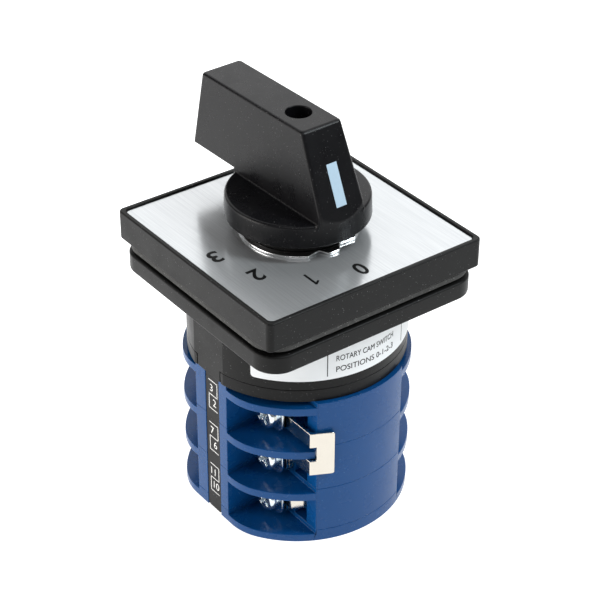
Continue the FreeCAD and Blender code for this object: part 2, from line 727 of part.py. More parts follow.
def blade_corners(z):
    """Corners of the grip's rectangular section at a height."""
    share = (BLADE_TOP - z) / (BLADE_TOP - SKIRT_TOP)
    half = BLADE_TOP_HALF + (BLADE_FOOT_HALF - BLADE_TOP_HALF) * share
    rear = BLADE_TOP_Y[0] + (BLADE_FOOT_Y[0] - BLADE_TOP_Y[0]) * share
    front = BLADE_TOP_Y[1] + (BLADE_FOOT_Y[1] - BLADE_TOP_Y[1]) * share
    return [(-half, rear), (half, rear), (half, front), (-half, front)]


def pointer_slot(depth, proud=0.0):
    """Bar lying in the sloping pointer face, seen as a short pale mark."""
    slope = math.degrees(math.atan2(BLADE_FOOT_Y[1] - BLADE_TOP_Y[1], BLADE_TOP - SKIRT_TOP))
    middle_z = (MARK_Z[0] + MARK_Z[1]) / 2
    half_length = (MARK_Z[1] - MARK_Z[0]) / 2 / math.cos(math.radians(slope))
    face_y = blade_corners(middle_z)[2][1]
    bar = box((-MARK_HALF, MARK_HALF), (-depth, proud), (-half_length, half_length))
    bar.rotate(V(0, 0, 0), V(1, 0, 0), slope)
    bar.translate(V(0, face_y, middle_z))
    return turned(bar, BLADE_SKEW)


def handle():
    """Knob skirt with the tapered grip across it and a screw well on the axis."""
    skirt = Part.makeCone(SKIRT_R, SKIRT_R - 0.25, SKIRT_TOP - SKIRT_Z, V(0, 0, SKIRT_Z))
    rim = [e for e in skirt.Edges if e.BoundBox.ZMin > SKIRT_TOP - 1e-6]
    skirt = skirt.makeFillet(0.6, rim)
    body = joined([skirt, turned(blade(), BLADE_SKEW)])
    under = tube(SKIRT_R - 1.8, 8.0, SKIRT_Z, SKIRT_TOP - 2.2)
    cuts = [under, square_bar(SKIRT_Z - 1, SHAFT_TOP + 0.1)]
    cuts += [disc(2.05, SHAFT_TOP, WELL_FLOOR + 1), disc(WELL_R, WELL_FLOOR, BLADE_TOP + 1)]
    cuts.append(pointer_slot(0.8, 1.0))
    return body.cut(cuts)


def handle_screw():
    """Screw at the bottom of the well, into the shaft's tapped end."""
    head = disc(3.0, WELL_FLOOR, WELL_FLOOR + 2.2)
    slot = box((-4, 4), (-0.4, 0.4), (WELL_FLOOR + 1.2, WELL_FLOOR + 3))
    return joined([head, disc(1.9, 84.5, WELL_FLOOR)]).cut(slot)


# ---------------------------------------------------------------- every node
def stage_nodes(stage):
    """Housing, terminals, cam and both contact sets of one stage."""
    floor = stage_floor(stage)
    rising = stage != STAGE_COUNT
    shift = 0.0 if rising else CAM_RISE
    nodes = {
        f"stage_housing_{stage}": stage_housing(floor),
        f"terminals_{stage}": terminals(floor),
        f"cam_{stage}": cam(floor, rising),
    }
    for name, side in (("a", 1), ("b", -1)):
        nodes[f"contact_carrier_{stage}{name}"] = carrier(floor, side, shift)
        nodes[f"contact_bridge_{stage}{name}"] = contact_bridge(floor, side, shift)
        nodes[f"contact_spring_{stage}{name}"] = contact_spring(floor, side, shift)
    return nodes


def all_nodes():
    nodes = {
        "handle": handle(),
        "pointer_inlay": pointer_slot(0.8, 0.05),
        "handle_screw": handle_screw(),
        "shaft": shaft(),
        "front_bush": front_bush(),
        "end_bush": end_bush(),
        "star_wheel": star_wheel(),
        "stop_disc": stop_disc(),
        "stop_ring": stop_ring(),
        "seal_collar": seal_collar(),
        "shaft_seal": shaft_seal(),
        "collar_screws": collar_screws(),
        "dial_plate": dial_plate(),
        "bezel": bezel(),
        "gasket": gasket(),
        "mounting_flange": mounting_flange(),
        "flange_screws": flange_screws(),
        "mechanism_housing": mechanism_housing(),
        "housing_base": housing_base(),
        "side_label": side_label(),
        "base_cover": base_cover(),
        "tie_bolts": tie_bolts(),
        "terminal_screws": all_stages(terminal_screw),
        "lock_washers": all_stages(spring_washer),
        "clamp_washers": all_stages(clamp_washer),
        "jumper_link": jumper_link(),
        "end_link": end_link(),
    }
    for name, side in (("front", 1), ("rear", -1)):
        nodes[f"number_strip_{name}"] = number_strip(side)
    for name, side in (("a", 1), ("b", -1)):
        nodes[f"detent_plunger_{name}"] = detent_plunger(side)
        nodes[f"detent_spring_{name}"] = detent_spring(side)
    for stage in range(1, STAGE_COUNT + 1):
        nodes.update(stage_nodes(stage))
    return nodes


def main():
    os.makedirs("parts", exist_ok=True)
    for name, shape in all_nodes().items():
        shape.exportStep(f"parts/{name}.step")


main()
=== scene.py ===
"""Rotary changeover switch: the looks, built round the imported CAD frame.

Shapes are drawn in millimetres, and each mesh is scaled to metres when it is made. A tool
that cuts runs about 1 mm past the faces that it cuts.
"""
import bpy
import bmesh
import json
import math
import random
from mathutils import Matrix, Vector


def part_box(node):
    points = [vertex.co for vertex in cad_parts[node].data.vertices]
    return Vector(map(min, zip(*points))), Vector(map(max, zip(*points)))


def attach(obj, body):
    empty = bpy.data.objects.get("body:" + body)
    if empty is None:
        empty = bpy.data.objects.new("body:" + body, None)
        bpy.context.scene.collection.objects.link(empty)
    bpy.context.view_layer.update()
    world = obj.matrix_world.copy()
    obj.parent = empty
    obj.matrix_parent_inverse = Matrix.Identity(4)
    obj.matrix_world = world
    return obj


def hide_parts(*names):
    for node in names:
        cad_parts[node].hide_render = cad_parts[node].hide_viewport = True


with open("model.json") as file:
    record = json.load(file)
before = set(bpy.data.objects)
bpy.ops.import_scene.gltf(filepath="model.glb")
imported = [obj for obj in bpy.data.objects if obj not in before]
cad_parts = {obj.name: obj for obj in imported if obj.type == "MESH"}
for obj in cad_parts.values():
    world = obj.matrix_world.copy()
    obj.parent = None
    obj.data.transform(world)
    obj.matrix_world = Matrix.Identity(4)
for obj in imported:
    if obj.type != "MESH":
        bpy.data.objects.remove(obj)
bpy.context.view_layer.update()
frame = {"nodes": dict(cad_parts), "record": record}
SCENE = bpy.context.scene
RANDOM = random.Random(11)
MM = 0.001
ROUND_STEPS = 144             # segments of a large round outline
MIDDLE_STEPS = 96             # segments of a bore
SMALL_STEPS = 48              # segments of a screw or a hole
SHARP_ANGLE = 38              # degrees; a sharper edge than this is rounded


def span(node):
    """Lowest and highest corner of a CAD node, in millimetres."""
    low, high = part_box(node)
    return low / MM, high / MM


# ---------------------------------------------------------------- sizes, in millimetres
# The contact stages and the rear cover.
STAGES = (1, 2, 3)
FLOORS = {stage: span(f"stage_housing_{stage}")[0].z for stage in STAGES}
STAGE_PITCH = FLOORS[1] - FLOORS[2]
LIP = 1.3
SHELF = 2.25
BASE_PLATE = 2.2
BASE_TOP = FLOORS[3]
STACK_TOP = FLOORS[1] + STAGE_PITCH
POCKET_ROOF = STAGE_PITCH - LIP - SHELF
TERMINAL_RISE = (POCKET_ROOF - LIP) / 2
DRUM_R = span("base_cover")[1].y
DRUM_FLAT = span("base_cover")[1].x
DRUM_BLEND = 15.0             # round between the drum's wall and its ribs
RIB_HALF = 6.8
POCKET_BACK = 13.5
RECESS_DEPTH = 3.0
RECESS_Y = (17.4, 22.4)
BORE_R = 6.5
CHAMBER_R = 10.2
CHAMBER_HALF = 9.5
CHAMBER_Y = (15.0, 25.4)
CARRIER_HALF = 3.3
COVER_FLOOR = 1.5
SCREW_HOLE_R = 2.2
SCREW_HOLE_END = 10.3         # from the axis along X
MOULD_EDGE = 0.15
STRIP_Y = (15.35, 16.65)
STRIP_HALF_H = 2.45
GROOVE_DEPTH = 1.3
GROOVE_HALF = 2.95
GROOVE_Y = 0.5
BOLT_X = 17.0
BOLT_R = 2.0
BOLT_HEAD_R = 3.7
BOLT_SINK = 2.7

# The terminals: fixed plate, link, gap for the wire, clamp plate, spring washer and screw,
# one on the other along X.
TERMINAL_Y = 12.4
PLATE_T = 1.4
PLATE_HALF = 4.4
PLATE_CORNER = 2.0
LINK_T = 0.8
WIRE_GAP = 0.9
WASHER_T = 0.7
LOCK_T = 0.8
HEAD_R = 3.6
HEAD_H = 1.9
CLAMP_HALF = 4.5
CLAMP_CORNER = 2.6
WASHER_BORE_R = 2.0
LOCK_R = 3.1
LOCK_SPLIT = 0.3              # half width of the spring washer's split
SHANK_R = 1.9
SHANK_END = 11.0              # from the axis along X
HEAD_ROUND = 1.0
HEAD_CHAMFER = 0.15
CROSS_HALF = (2.3, 0.42)      # half length and half width of the cross recess
CROSS_DEPTH = 1.2
CONTACT_REACH = 4.6           # inner end of the fixed contact's strip, from the axis
CONTACT_TIP_X = (5.6, 8.2)
CONTACT_TIP_RISE = 0.35       # above the strip that carries it
CONTACT_TIP_HALF = 1.6
LINK_FACE = POCKET_BACK + PLATE_T + LINK_T
CLAMP_FACE = LINK_FACE + WIRE_GAP
HEAD_BASE = CLAMP_FACE + WASHER_T + LOCK_T
LINK_TAB = (4.2, 1.5)         # half side and corner of a link's flat end
LINK_LEAN = 27.0              # degrees that a link's plate leans back
LINK_CORNER = 1.1
LINK_START = 3.0              # beginning of a link's leg, from the screw
JUMPER_BEND_Y = 26.45
JUMPER_WIDTH = 6.3
JUMPER_EAR = 4.3              # height of the jumper's plate above and below its notch
JUMPER_NOTCH_X = (14.1, 18.0)
END_TAB_REACH = 6.2
END_TAB_WIDTH = 4.1
END_TAB_RISE = (-1.5, 3.8)    # about the terminal's middle

# The number strips.
STRIP_SHIFT = 0.3             # the print sits a little off the strip's middle
STRIP_DEPTH = 0.15            # how far the strip lies below the rib's face
STRIP_CORNER = 1.0
STEP_RISE = 6.8               # middle of a stage's two numbers above its floor
STEP_CELL = 4.4
STEP_HALF = 1.92
STEP_LINE = 0.24
PRINT_PROUD = 0.03            # a print stands this far out of its face
NUMBER_H = 2.2
NUMBER_RISE = 2.1
NUMBER_SHIFT = (-0.75, 0.55)  # upper and lower number, across the strip

# The mechanism housing and its label.
HOUSING_R = span("mechanism_housing")[1].y
HOUSING_FLAT = span("mechanism_housing")[1].x
HOUSING_LOW = span("mechanism_housing")[0].z
HOUSING_ROOF_T = 3.0
HOUSING_CAVITY_R = 24.0
TONGUE_HALF = 4.9             # the housing's tongues cover the number strips' upper ends
TONGUE_T = 1.2
TONGUE_GAP = 0.25
LABEL_ARC = (29.6, 150.4)     # degrees round the housing
LABEL_CORNER = 0.9
LABEL_LINES = (67.8, 118.0)   # degrees of the two dividers
LABEL_LINE_WIDTH = 0.45       # degrees
LABEL_LINE_INSET = 1.0
LABEL_TEXT_START = 72.5
LABEL_TEXT_H = 1.6
LETTER_WIDTH = 0.67           # average width of a letter, as a share of its height
LABEL_TEXT_RISE = (5.9, 2.7)  # middle of each line of words above the label's lower edge

# The front plates.
FRONT_HALF = span("bezel")[1].x
FLANGE = (span("mounting_flange")[0].z, span("mounting_flange")[1].z)
GASKET = (span("gasket")[0].z, span("gasket")[1].z)
BEZEL = (span("bezel")[0].z, span("bezel")[1].z)
DIAL_TOP = span("dial_plate")[1].z
DIAL_T = 1.0
COLLAR_R = 12.5
FLANGE_CORNER = 6.7
FLANGE_SCREW = 15.0           # flange screws, from the axis along X and Y
FLANGE_SCREW_R = 1.45
FLANGE_SCREW_HEAD_R = 2.85
COUNTERSINK = (3.1, 4.8)      # heights in the flange where the cone starts and ends
GASKET_CORNER = 7.2
GASKET_HOLE_R = 2.6
BEZEL_CORNER = 1.6
BEZEL_RIM = 1.4
BEZEL_WINDOW_CORNER = 1.2
BEZEL_FLOOR = 3.0             # under the seal collar's foot
BEZEL_HOLE_DEPTH = 5.0
PANEL_HOLE = 24.0             # panel screw holes, from the axis along X and Y
PANEL_HOLE_R = 2.25
DIAL_CORNER = 1.1
DIAL_NUMBER_R = 25.1
DIAL_NUMBER_H = 5.1
DIAL_NUMBER_WIDTHS = (3.0, 0.6, 3.2, 3.1)
DIAL_STEP = 30.0              # degrees from one position to the next
FLAG_HALF = (0.85, 0.27)      # slanting stroke at the top of the 1
FLAG_SHIFT = (-0.6, 1.95)
FLAG_TURN = 38

# The seal collar, the notched ring and the handle.
SEAL_R = span("seal_collar")[1].x
SEAL_FOOT_R = 12.9
SEAL_SCREW_CIRCLE = 10.0      # radius on which the four collar screws lie
SEAL_SCREW_R = 2.8
SEAL_SCREW_DEPTH = 2.6
RING_T = span("stop_ring")[1].z - DIAL_TOP
RING_R = 16.1
RING_NOTCH_R = 13.95
RING_BACK_R = 15.0
SKIRT_Z = span("handle")[0].z
SKIRT_R = 18.45
SKIRT_TOP = SKIRT_Z + 5.8
BLADE_TOP = span("handle")[1].z
BLADE_TOP_Y = (-31.5, 8.9)
BLADE_TOP_HALF = 6.0
BLADE_FOOT_Y = (-34.8, 18.25)
BLADE_FOOT_HALF = 7.0
BLADE_CORNER = 0.9
BLADE_CROWN = 0.7             # rounding of the grip's top
BLADE_SKEW = 1.3              # degrees that the grip stands off the shaft's square
OVERHANG_Z = SKIRT_TOP + 0.8
RIM = 0.75                    # rounding of the skirt's upper edge
SKIRT_TAPER = 0.2             # the skirt narrows by this up to its rim
SKIRT_WALL = 1.8
SKIRT_ROOF = 2.2
HUB_R = 8.0
SHAFT_HALF = 3.5
HANDLE_SCREW_R = 2.05
WELL_R = 3.25
WELL_FLOOR = span("handle_screw")[1].z - 2.2
SHAFT_TOP = span("shaft")[1].z
MARK_HALF = (1.55, 5.4)       # half width and half length of the pointer mark

# Widths of the rounded edges.
SCREW_EDGE = 0.10
CLAMP_EDGE = 0.20
LINK_EDGE = 0.14
STRIP_EDGE = 0.15
HOUSING_EDGE = 0.25
FLANGE_EDGE = 0.55
GASKET_EDGE = 0.35
BEZEL_EDGE = 0.42
DIAL_EDGE = 0.12
RING_EDGE = 0.28
SEAL_EDGE = 0.3
HANDLE_EDGE = 0.28
MARK_EDGE = 0.05


# ---------------------------------------------------------------- outlines, as (x, y) points
def arc(radius, start, end, steps, x=0.0, y=0.0):
    """Points along an arc, angles in degrees, both ends included."""
    points = []
    for k in range(steps + 1):
        angle = math.radians(start + (end - start) * k / steps)
        points.append((x + radius * math.cos(angle), y + radius * math.sin(angle)))
    return points


def circle(radius, x=0.0, y=0.0, steps=ROUND_STEPS):
    return arc(radius, 0, 360, steps, x, y)[:-1]


def rounded_rectangle(half_x, half_y, corner, steps=10, x=0.0, y=0.0):
    points = []
    for k, (sx, sy) in enumerate(((1, 1), (-1, 1), (-1, -1), (1, -1))):
        centre = (x + sx * (half_x - corner), y + sy * (half_y - corner))
        points += arc(corner, 90 * k, 90 * k + 90, steps, *centre)
    return points


def rectangle(x, y):
    return [(x[0], y[0]), (x[1], y[0]), (x[1], y[1]), (x[0], y[1])]


def flatted_circle(radius, flat, blend=1.0):
    """Circle cut flat at x = flat and x = -flat, each corner blended by an arc."""
    x = flat - blend
    y = math.sqrt((radius - blend) ** 2 - x ** 2)
    edge = math.degrees(math.atan2(y, x))
    upper = arc(blend, 0, edge, 12, x, y) + arc(radius, edge, 180 - edge, ROUND_STEPS // 2)[1:-1]
    upper += arc(blend, 180 - edge, 180, 12, -x, y)
    return upper + [(-x, -y) for x, y in upper]


def cylinder_point(radius, degrees, z):
    angle = math.radians(degrees)
    return (radius * math.cos(angle), radius * math.sin(angle), z)


# ---------------------------------------------------------------- closed meshes
def linked(name, bm):
    """Object from a mesh drawn in millimetres."""
    bmesh.ops.recalc_face_normals(bm, faces=bm.faces)
    bmesh.ops.scale(bm, vec=(MM, MM, MM), verts=bm.verts)
    mesh = bpy.data.meshes.new(name)
    bm.to_mesh(mesh)
    bm.free()
    piece = bpy.data.objects.new(name, mesh)
    SCENE.collection.objects.link(piece)
    return piece


def loft(rings, name="tool", closed=False):
    """Skin through rings of (x, y, z) points: capped at both ends, or closed on itself."""
    bm = bmesh.new()
    levels = [[bm.verts.new(p) for p in ring] for ring in rings]
    pairs = list(zip(levels, levels[1:]))
    if closed:
        pairs.append((levels[-1], levels[0]))
    else:
        bm.faces.new(levels[0][::-1])
        bm.faces.new(levels[-1])
    count = len(rings[0])
    for lower, upper in pairs:
        for k in range(count):
            after = (k + 1) % count
            bm.faces.new((lower[k], lower[after], upper[after], upper[k]))
    return linked(name, bm)


def prism(outline, low, high, name="tool"):
    return loft([[(x, y, z) for x, y in outline] for z in (low, high)], name)


def block(x, y, z):
    return prism(rectangle(x, y), z[0], z[1])


def disc(radius, low, high, x=0.0, y=0.0, steps=SMALL_STEPS):
    return prism(circle(radius, x, y, steps), low, high)


def turned(profile, steps=ROUND_STEPS):
    """Solid turned about Z from (radius, z) points, with flat ends."""
    return loft([[(x, y, z) for x, y in circle(r, steps=steps)] for r, z in profile])


def turned_ring(profile, steps=ROUND_STEPS):
    """Ring turned about Z from a closed profile of (radius, z) points."""
    rings = [[(x, y, z) for x, y in circle(r, steps=steps)] for r, z in profile]
    return loft(rings, closed=True)


def placed(piece, matrix):
    """The piece with its mesh moved by a matrix whose shifts are in millimetres."""
    move = matrix.copy()
    move.translation = matrix.translation * MM
    piece.data.transform(move)
    if move.determinant() < 0:
        piece.data.flip_normals()
    return piece


def copied(piece, matrix):
    other = bpy.data.objects.new("tool", piece.data.copy())
    SCENE.collection.objects.link(other)
    return placed(other, matrix)


def shift(x=0.0, y=0.0, z=0.0):
    return Matrix.Translation((x, y, z))


def turn(degrees, axis="Z"):
    return Matrix.Rotation(math.radians(degrees), 4, axis)


def mirror(x=1, y=1):
    return Matrix.Diagonal((x, y, 1, 1))


ALONG_X = turn(90, "Y")
UPRIGHT = Matrix(((1, 0, 0, 0), (0, 0, 1, 0), (0, 1, 0, 0), (0, 0, 0, 1)))   # (x, y) drawn as (x, z)


def rod(radius, x, y, z):
    """Cylinder along X between two x values."""
    piece = prism(circle(radius, steps=SMALL_STEPS), x[0], x[1])
    return placed(piece, shift(y=y, z=z) @ ALONG_X)


def quadrants(piece):
    """The piece and its mirror images across the YZ and XZ planes."""
    return [piece] + [copied(piece, mirror(x, y)) for x, y in ((-1, 1), (-1, -1), (1, -1))]


def both_sides(piece, x=1, y=1):
    return [piece, copied(piece, mirror(x, y))]


def cleaned(mesh):
    """The mesh without the slivers that a boolean leaves."""
    bm = bmesh.new()
    bm.from_mesh(mesh)
    bmesh.ops.remove_doubles(bm, verts=bm.verts, dist=0.02 * MM)
    bmesh.ops.dissolve_degenerate(bm, edges=bm.edges, dist=0.01 * MM)
    bm.to_mesh(mesh)
    bm.free()
    return mesh


def combined(base, tools, operation="DIFFERENCE"):
    """Exact boolean of a closed mesh with closed tools, which are used up."""
    group = bpy.data.collections.new("tools")
    SCENE.collection.children.link(group)
    for tool in tools:
        group.objects.link(tool)
    modifier = base.modifiers.new("combine", "BOOLEAN")
    modifier.operation = operation
    modifier.solver = "EXACT"
    modifier.operand_type = "COLLECTION"
    modifier.collection = group
    graph = bpy.context.evaluated_depsgraph_get()
    mesh = bpy.data.meshes.new_from_object(base.evaluated_get(graph))
    base.modifiers.clear()
    base.data = cleaned(mesh)
    for tool in tools:
        bpy.data.objects.remove(tool)
    bpy.data.collections.remove(group)
    return base


def merged(pieces):
    """One object from several, each staying a closed shell of its own."""
    bm = bmesh.new()
    for piece in pieces:
        bm.from_mesh(piece.data)
        bpy.data.objects.remove(piece)
    mesh = bpy.data.meshes.new("group")
    bm.to_mesh(mesh)
    bm.free()
    whole = bpy.data.objects.new("group", mesh)
    SCENE.collection.objects.link(whole)
    return whole


def soften(piece, width, steps=3):
    """Rounded edges, and shading that keeps flat faces flat."""
    bevel = piece.modifiers.new("edges", "BEVEL")
    bevel.width = width * MM
    bevel.segments = steps
    bevel.limit_method = "ANGLE"
    bevel.angle_limit = math.radians(SHARP_ANGLE)
    bevel.use_clamp_overlap = False
    return smooth(piece)


def smooth(piece):
    for polygon in piece.data.polygons:
        polygon.use_smooth = True
    piece.modifiers.new("normals", "WEIGHTED_NORMAL").keep_sharp = True
    return piece


def finished(piece, name, body, slot, *nodes):
    """Name, material and body of a piece, and the CAD nodes that it stands for."""
    piece.name = name
    piece.data.name = name
    piece.data.materials.clear()
    piece.data.materials.append(MATERIALS[slot])
    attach(piece, body)
    if nodes:
        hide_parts(*nodes)
    return piece


# ---------------------------------------------------------------- materials
class Surface:
    """A node material with one Principled shader, and short ways to drive it."""

    def __init__(self, name, colour, roughness, metallic=0.0, specular=0.5):
        self.material = bpy.data.materials.new(name)
        self.material.use_nodes = True
        self.nodes = self.material.node_tree.nodes
        self.links = self.material.node_tree.links
        self.shader = self.nodes["Principled BSDF"]
        self.colour = (*colour, 1.0)
        self.shader.inputs["Base Color"].default_value = self.colour
        self.shader.inputs["Roughness"].default_value = roughness
        self.shader.inputs["Metallic"].default_value = metallic
        self.shader.inputs["Specular IOR Level"].default_value = specular
        self.place = self.nodes.new("ShaderNodeTexCoord").outputs["Object"]
        self.bumped = None

    def stretched(self, x=1.0, y=1.0, z=1.0):
        """Object coordinates in millimetres, drawn out along the axes with small factors."""
        mapping = self.nodes.new("ShaderNodeMapping")
        mapping.inputs["Scale"].default_value = (x / MM, y / MM, z / MM)
        self.links.new(self.place, mapping.inputs["Vector"])
        return mapping.outputs["Vector"]

    def noise(self, size, detail=2.0, vector=None):
        """Noise whose patches are about size millimetres wide."""
        texture = self.nodes.new("ShaderNodeTexNoise")
        texture.inputs["Scale"].default_value = 1.0 / size
        texture.inputs["Detail"].default_value = detail
        self.links.new(vector or self.stretched(), texture.inputs["Vector"])
        return texture.outputs["Fac"]

    def ranged(self, value, low, high, start=0.3, end=0.7):
        """A value between start and end spread over low to high."""
        spread = self.nodes.new("ShaderNodeMapRange")
        spread.inputs["From Min"].default_value = start
        spread.inputs["From Max"].default_value = end
        spread.inputs["To Min"].default_value = low
        spread.inputs["To Max"].default_value = high
        self.links.new(value, spread.inputs["Value"])
        return spread.outputs["Result"]

    def vary_roughness(self, value, low, high):
        self.links.new(self.ranged(value, low, high), self.shader.inputs["Roughness"])
        return self

    def tint(self, factor, colour):
        """Mixes another colour in over what the surface already has."""
        mix = self.nodes.new("ShaderNodeMix")
        mix.data_type = "RGBA"
        base = self.shader.inputs["Base Color"]
        if base.is_linked:
            self.links.new(base.links[0].from_socket, mix.inputs["A"])
        else:
            mix.inputs["A"].default_value = self.colour
        mix.inputs["B"].default_value = (*colour, 1.0)
        self.links.new(factor, mix.inputs["Factor"])
        self.links.new(mix.outputs["Result"], base)
        return self

    def bump(self, height, depth):
        """Relief of a given depth in millimetres, on top of any earlier relief."""
        node = self.nodes.new("ShaderNodeBump")
        node.inputs["Distance"].default_value = depth * MM
        self.links.new(height, node.inputs["Height"])
        if self.bumped:
            self.links.new(self.bumped, node.inputs["Normal"])
        self.bumped = node.outputs["Normal"]
        self.links.new(self.bumped, self.shader.inputs["Normal"])
        return self


def dust(surface, colour, amount):
    """Sparse fine specks of dust; a larger amount leaves fewer of them."""
    grains = surface.noise(0.30, 0.0)
    return surface.tint(surface.ranged(grains, 0.0, 1.0, amount, amount + 0.05), colour)


def grained_plastic(name, colour, paler, roughness, specular=0.5):
    """Spark-eroded moulding: fine grain, faint shade changes and a little dust."""
    surface = Surface(name, colour, roughness, specular=specular)
    surface.tint(surface.ranged(surface.noise(14.0, 3.0), 0.0, 0.6), paler)
    surface.vary_roughness(surface.noise(5.0, 4.0), roughness - 0.04, roughness + 0.06)
    surface.bump(surface.noise(0.16, 3.0), 0.010)
    surface.bump(surface.noise(2.5, 2.0), 0.012)
    dust(surface, [0.12 + c for c in colour], 0.80)
    return surface.material


def gloss_blue():
    """Glossy blue moulding with faint flow waves."""
    surface = Surface("blue_plastic", (0.002, 0.058, 0.205), 0.22, specular=0.26)
    surface.tint(surface.ranged(surface.noise(18.0, 3.0), 0.0, 0.5), (0.002, 0.067, 0.23))
    surface.vary_roughness(surface.noise(4.0, 4.0), 0.16, 0.32)
    surface.bump(surface.noise(3.0, 1.5), 0.010)
    surface.bump(surface.noise(0.25, 2.0), 0.002)
    dust(surface, (0.08, 0.20, 0.42), 0.81)
    return surface.material


def rubber():
    surface = Surface("black_rubber", (0.024, 0.024, 0.023), 0.70, specular=0.4)
    surface.tint(surface.ranged(surface.noise(1.2, 4.0), 0.0, 0.8), (0.048, 0.048, 0.046))
    surface.bump(surface.noise(0.35, 4.0), 0.05)
    dust(surface, (0.20, 0.20, 0.19), 0.76)
    return surface.material


def brushed_plate():
    """Aluminium dial sheet brushed along Y."""
    surface = Surface("brushed_plate", (0.68, 0.70, 0.71), 0.20, metallic=0.66)
    surface.shader.inputs["Anisotropic"].default_value = 0.35
    streaks = surface.noise(0.22, 3.0, surface.stretched(1.0, 0.012, 1.0))
    surface.tint(surface.ranged(streaks, 0.0, 0.75), (0.53, 0.55, 0.57))
    surface.vary_roughness(streaks, 0.14, 0.26)
    surface.bump(streaks, 0.0025)
    return surface.material


def metal(name, colour, darker, roughness, grain=0.01, patch=1.5):
    """Plated or bare metal with a slightly uneven finish."""
    surface = Surface(name, colour, roughness, metallic=1.0)
    surface.tint(surface.ranged(surface.noise(patch, 4.0), 0.0, 0.7), darker)
    surface.vary_roughness(surface.noise(patch / 2, 3.0), roughness - 0.06, roughness + 0.10)
    if grain:
        surface.bump(surface.noise(0.5, 3.0), grain)
    return surface.material


def tinned_link():
    surface = Surface("tinned_link", (0.71, 0.665, 0.585), 0.08, metallic=1.0)
    surface.tint(surface.ranged(surface.noise(3.0, 4.0), 0.0, 0.30), (0.65, 0.605, 0.53))
    surface.vary_roughness(surface.noise(1.2, 4.0), 0.08, 0.16)
    surface.bump(surface.noise(1.0, 2.0), 0.006)
    return surface.material


def satin(name, colour, darker, roughness, metallic):
    """Smooth silvery surface, paler than bare metal."""
    surface = Surface(name, colour, roughness, metallic=metallic)
    surface.tint(surface.ranged(surface.noise(6.0, 3.0), 0.0, 0.4), darker)
    surface.bump(surface.noise(0.3, 3.0), 0.004)
    return surface.material


def paint(name, colour, specular=0.5):
    """Printed ink or filled paint."""
    surface = Surface(name, colour, 0.45, specular=specular)
    surface.tint(surface.ranged(surface.noise(0.8, 3.0), 0.0, 0.3), [0.85 * c for c in colour])
    surface.bump(surface.noise(0.3, 2.0), 0.006)
    return surface.material


MATERIALS = {
    "handle_plastic": grained_plastic("handle_plastic", (0.004, 0.004, 0.005),
                                      (0.008, 0.008, 0.009), 0.28, specular=0.20),
    "black_plastic": grained_plastic("black_plastic", (0.009, 0.009, 0.009),
                                     (0.011, 0.011, 0.011), 0.36, specular=0.135),
    "blue_plastic": gloss_blue(),
    "pale_blue_inlay": paint("pale_blue_inlay", (0.47, 0.63, 0.76)),
    "white_moulding": grained_plastic("white_moulding", (0.66, 0.65, 0.62),
                                      (0.74, 0.73, 0.70), 0.40),
    "black_rubber": rubber(),
    "brushed_plate": brushed_plate(),
    "bright_ring": metal("bright_ring", (0.97, 0.97, 0.97), (0.90, 0.91, 0.92), 0.14, 0.0, patch=6.0),
    "silver_label": satin("silver_label", (0.80, 0.82, 0.83), (0.74, 0.77, 0.79), 0.34, 0.12),
    "zinc_steel": metal("zinc_steel", (0.84, 0.90, 0.93), (0.58, 0.68, 0.74), 0.17, 0.015),
    "plain_steel": metal("plain_steel", (0.60, 0.60, 0.60), (0.42, 0.42, 0.42), 0.30),
    "spring_steel": metal("spring_steel", (0.45, 0.45, 0.46), (0.30, 0.30, 0.31), 0.28),
    "contact_brass": metal("contact_brass", (0.80, 0.74, 0.60), (0.62, 0.56, 0.43), 0.22),
    "tinned_link": tinned_link(),
}
BLACK_INK = paint("black_ink", (0.004, 0.004, 0.004), specular=0.1)
WHITE_INK = paint("white_ink", (0.88, 0.88, 0.86))


def dress_frame():
    """Gives every CAD node the material of its slot."""
    for entry in frame["record"]["subparts"]:
        for place in frame["nodes"][entry["node"]].material_slots:
            place.material = MATERIALS[entry["material_slot"]]


# ---------------------------------------------------------------- contact stages
def drum(low, high):
    return prism(flatted_circle(DRUM_R, DRUM_FLAT, DRUM_BLEND), low, high)


def pocket_cuts(low, high):
    """The four terminal pockets between two heights."""
    reach = 1.2 * DRUM_R
    return quadrants(block((POCKET_BACK, reach), (RIB_HALF, reach), (low, high)))


def groove_cuts(low, high):
    """Grooves in both ribs that hold the number strips."""
    groove = block((DRUM_FLAT - GROOVE_DEPTH, DRUM_FLAT + 1),
                   (GROOVE_Y - GROOVE_HALF, GROOVE_Y + GROOVE_HALF), (low, high))
    return both_sides(groove, x=-1)


def bolt_cuts(low, high, radius=BOLT_R):
    return [disc(radius, low, high, x=x) for x in (-BOLT_X, BOLT_X)]


def chamber_cuts(floor, roof):
    """Room for the cam, the contact carriers, their bridges and the fixed strips."""
    middle = floor + TERMINAL_RISE
    low = floor - 1
    cuts = [disc(CHAMBER_R, low, roof, steps=MIDDLE_STEPS),
            disc(BORE_R, roof - 1, roof + STAGE_PITCH, steps=MIDDLE_STEPS)]
    guide = block((-CARRIER_HALF, CARRIER_HALF), (CHAMBER_R - 2, CHAMBER_Y[0] + 1), (low, roof))
    chamber = block((-CHAMBER_HALF, CHAMBER_HALF), CHAMBER_Y, (low, roof))
    cuts += both_sides(guide, y=-1) + both_sides(chamber, y=-1)
    slot = block((CHAMBER_HALF - 1, POCKET_BACK + 1), STRIP_Y,
                 (middle - STRIP_HALF_H, middle + STRIP_HALF_H))
    return cuts + quadrants(slot)


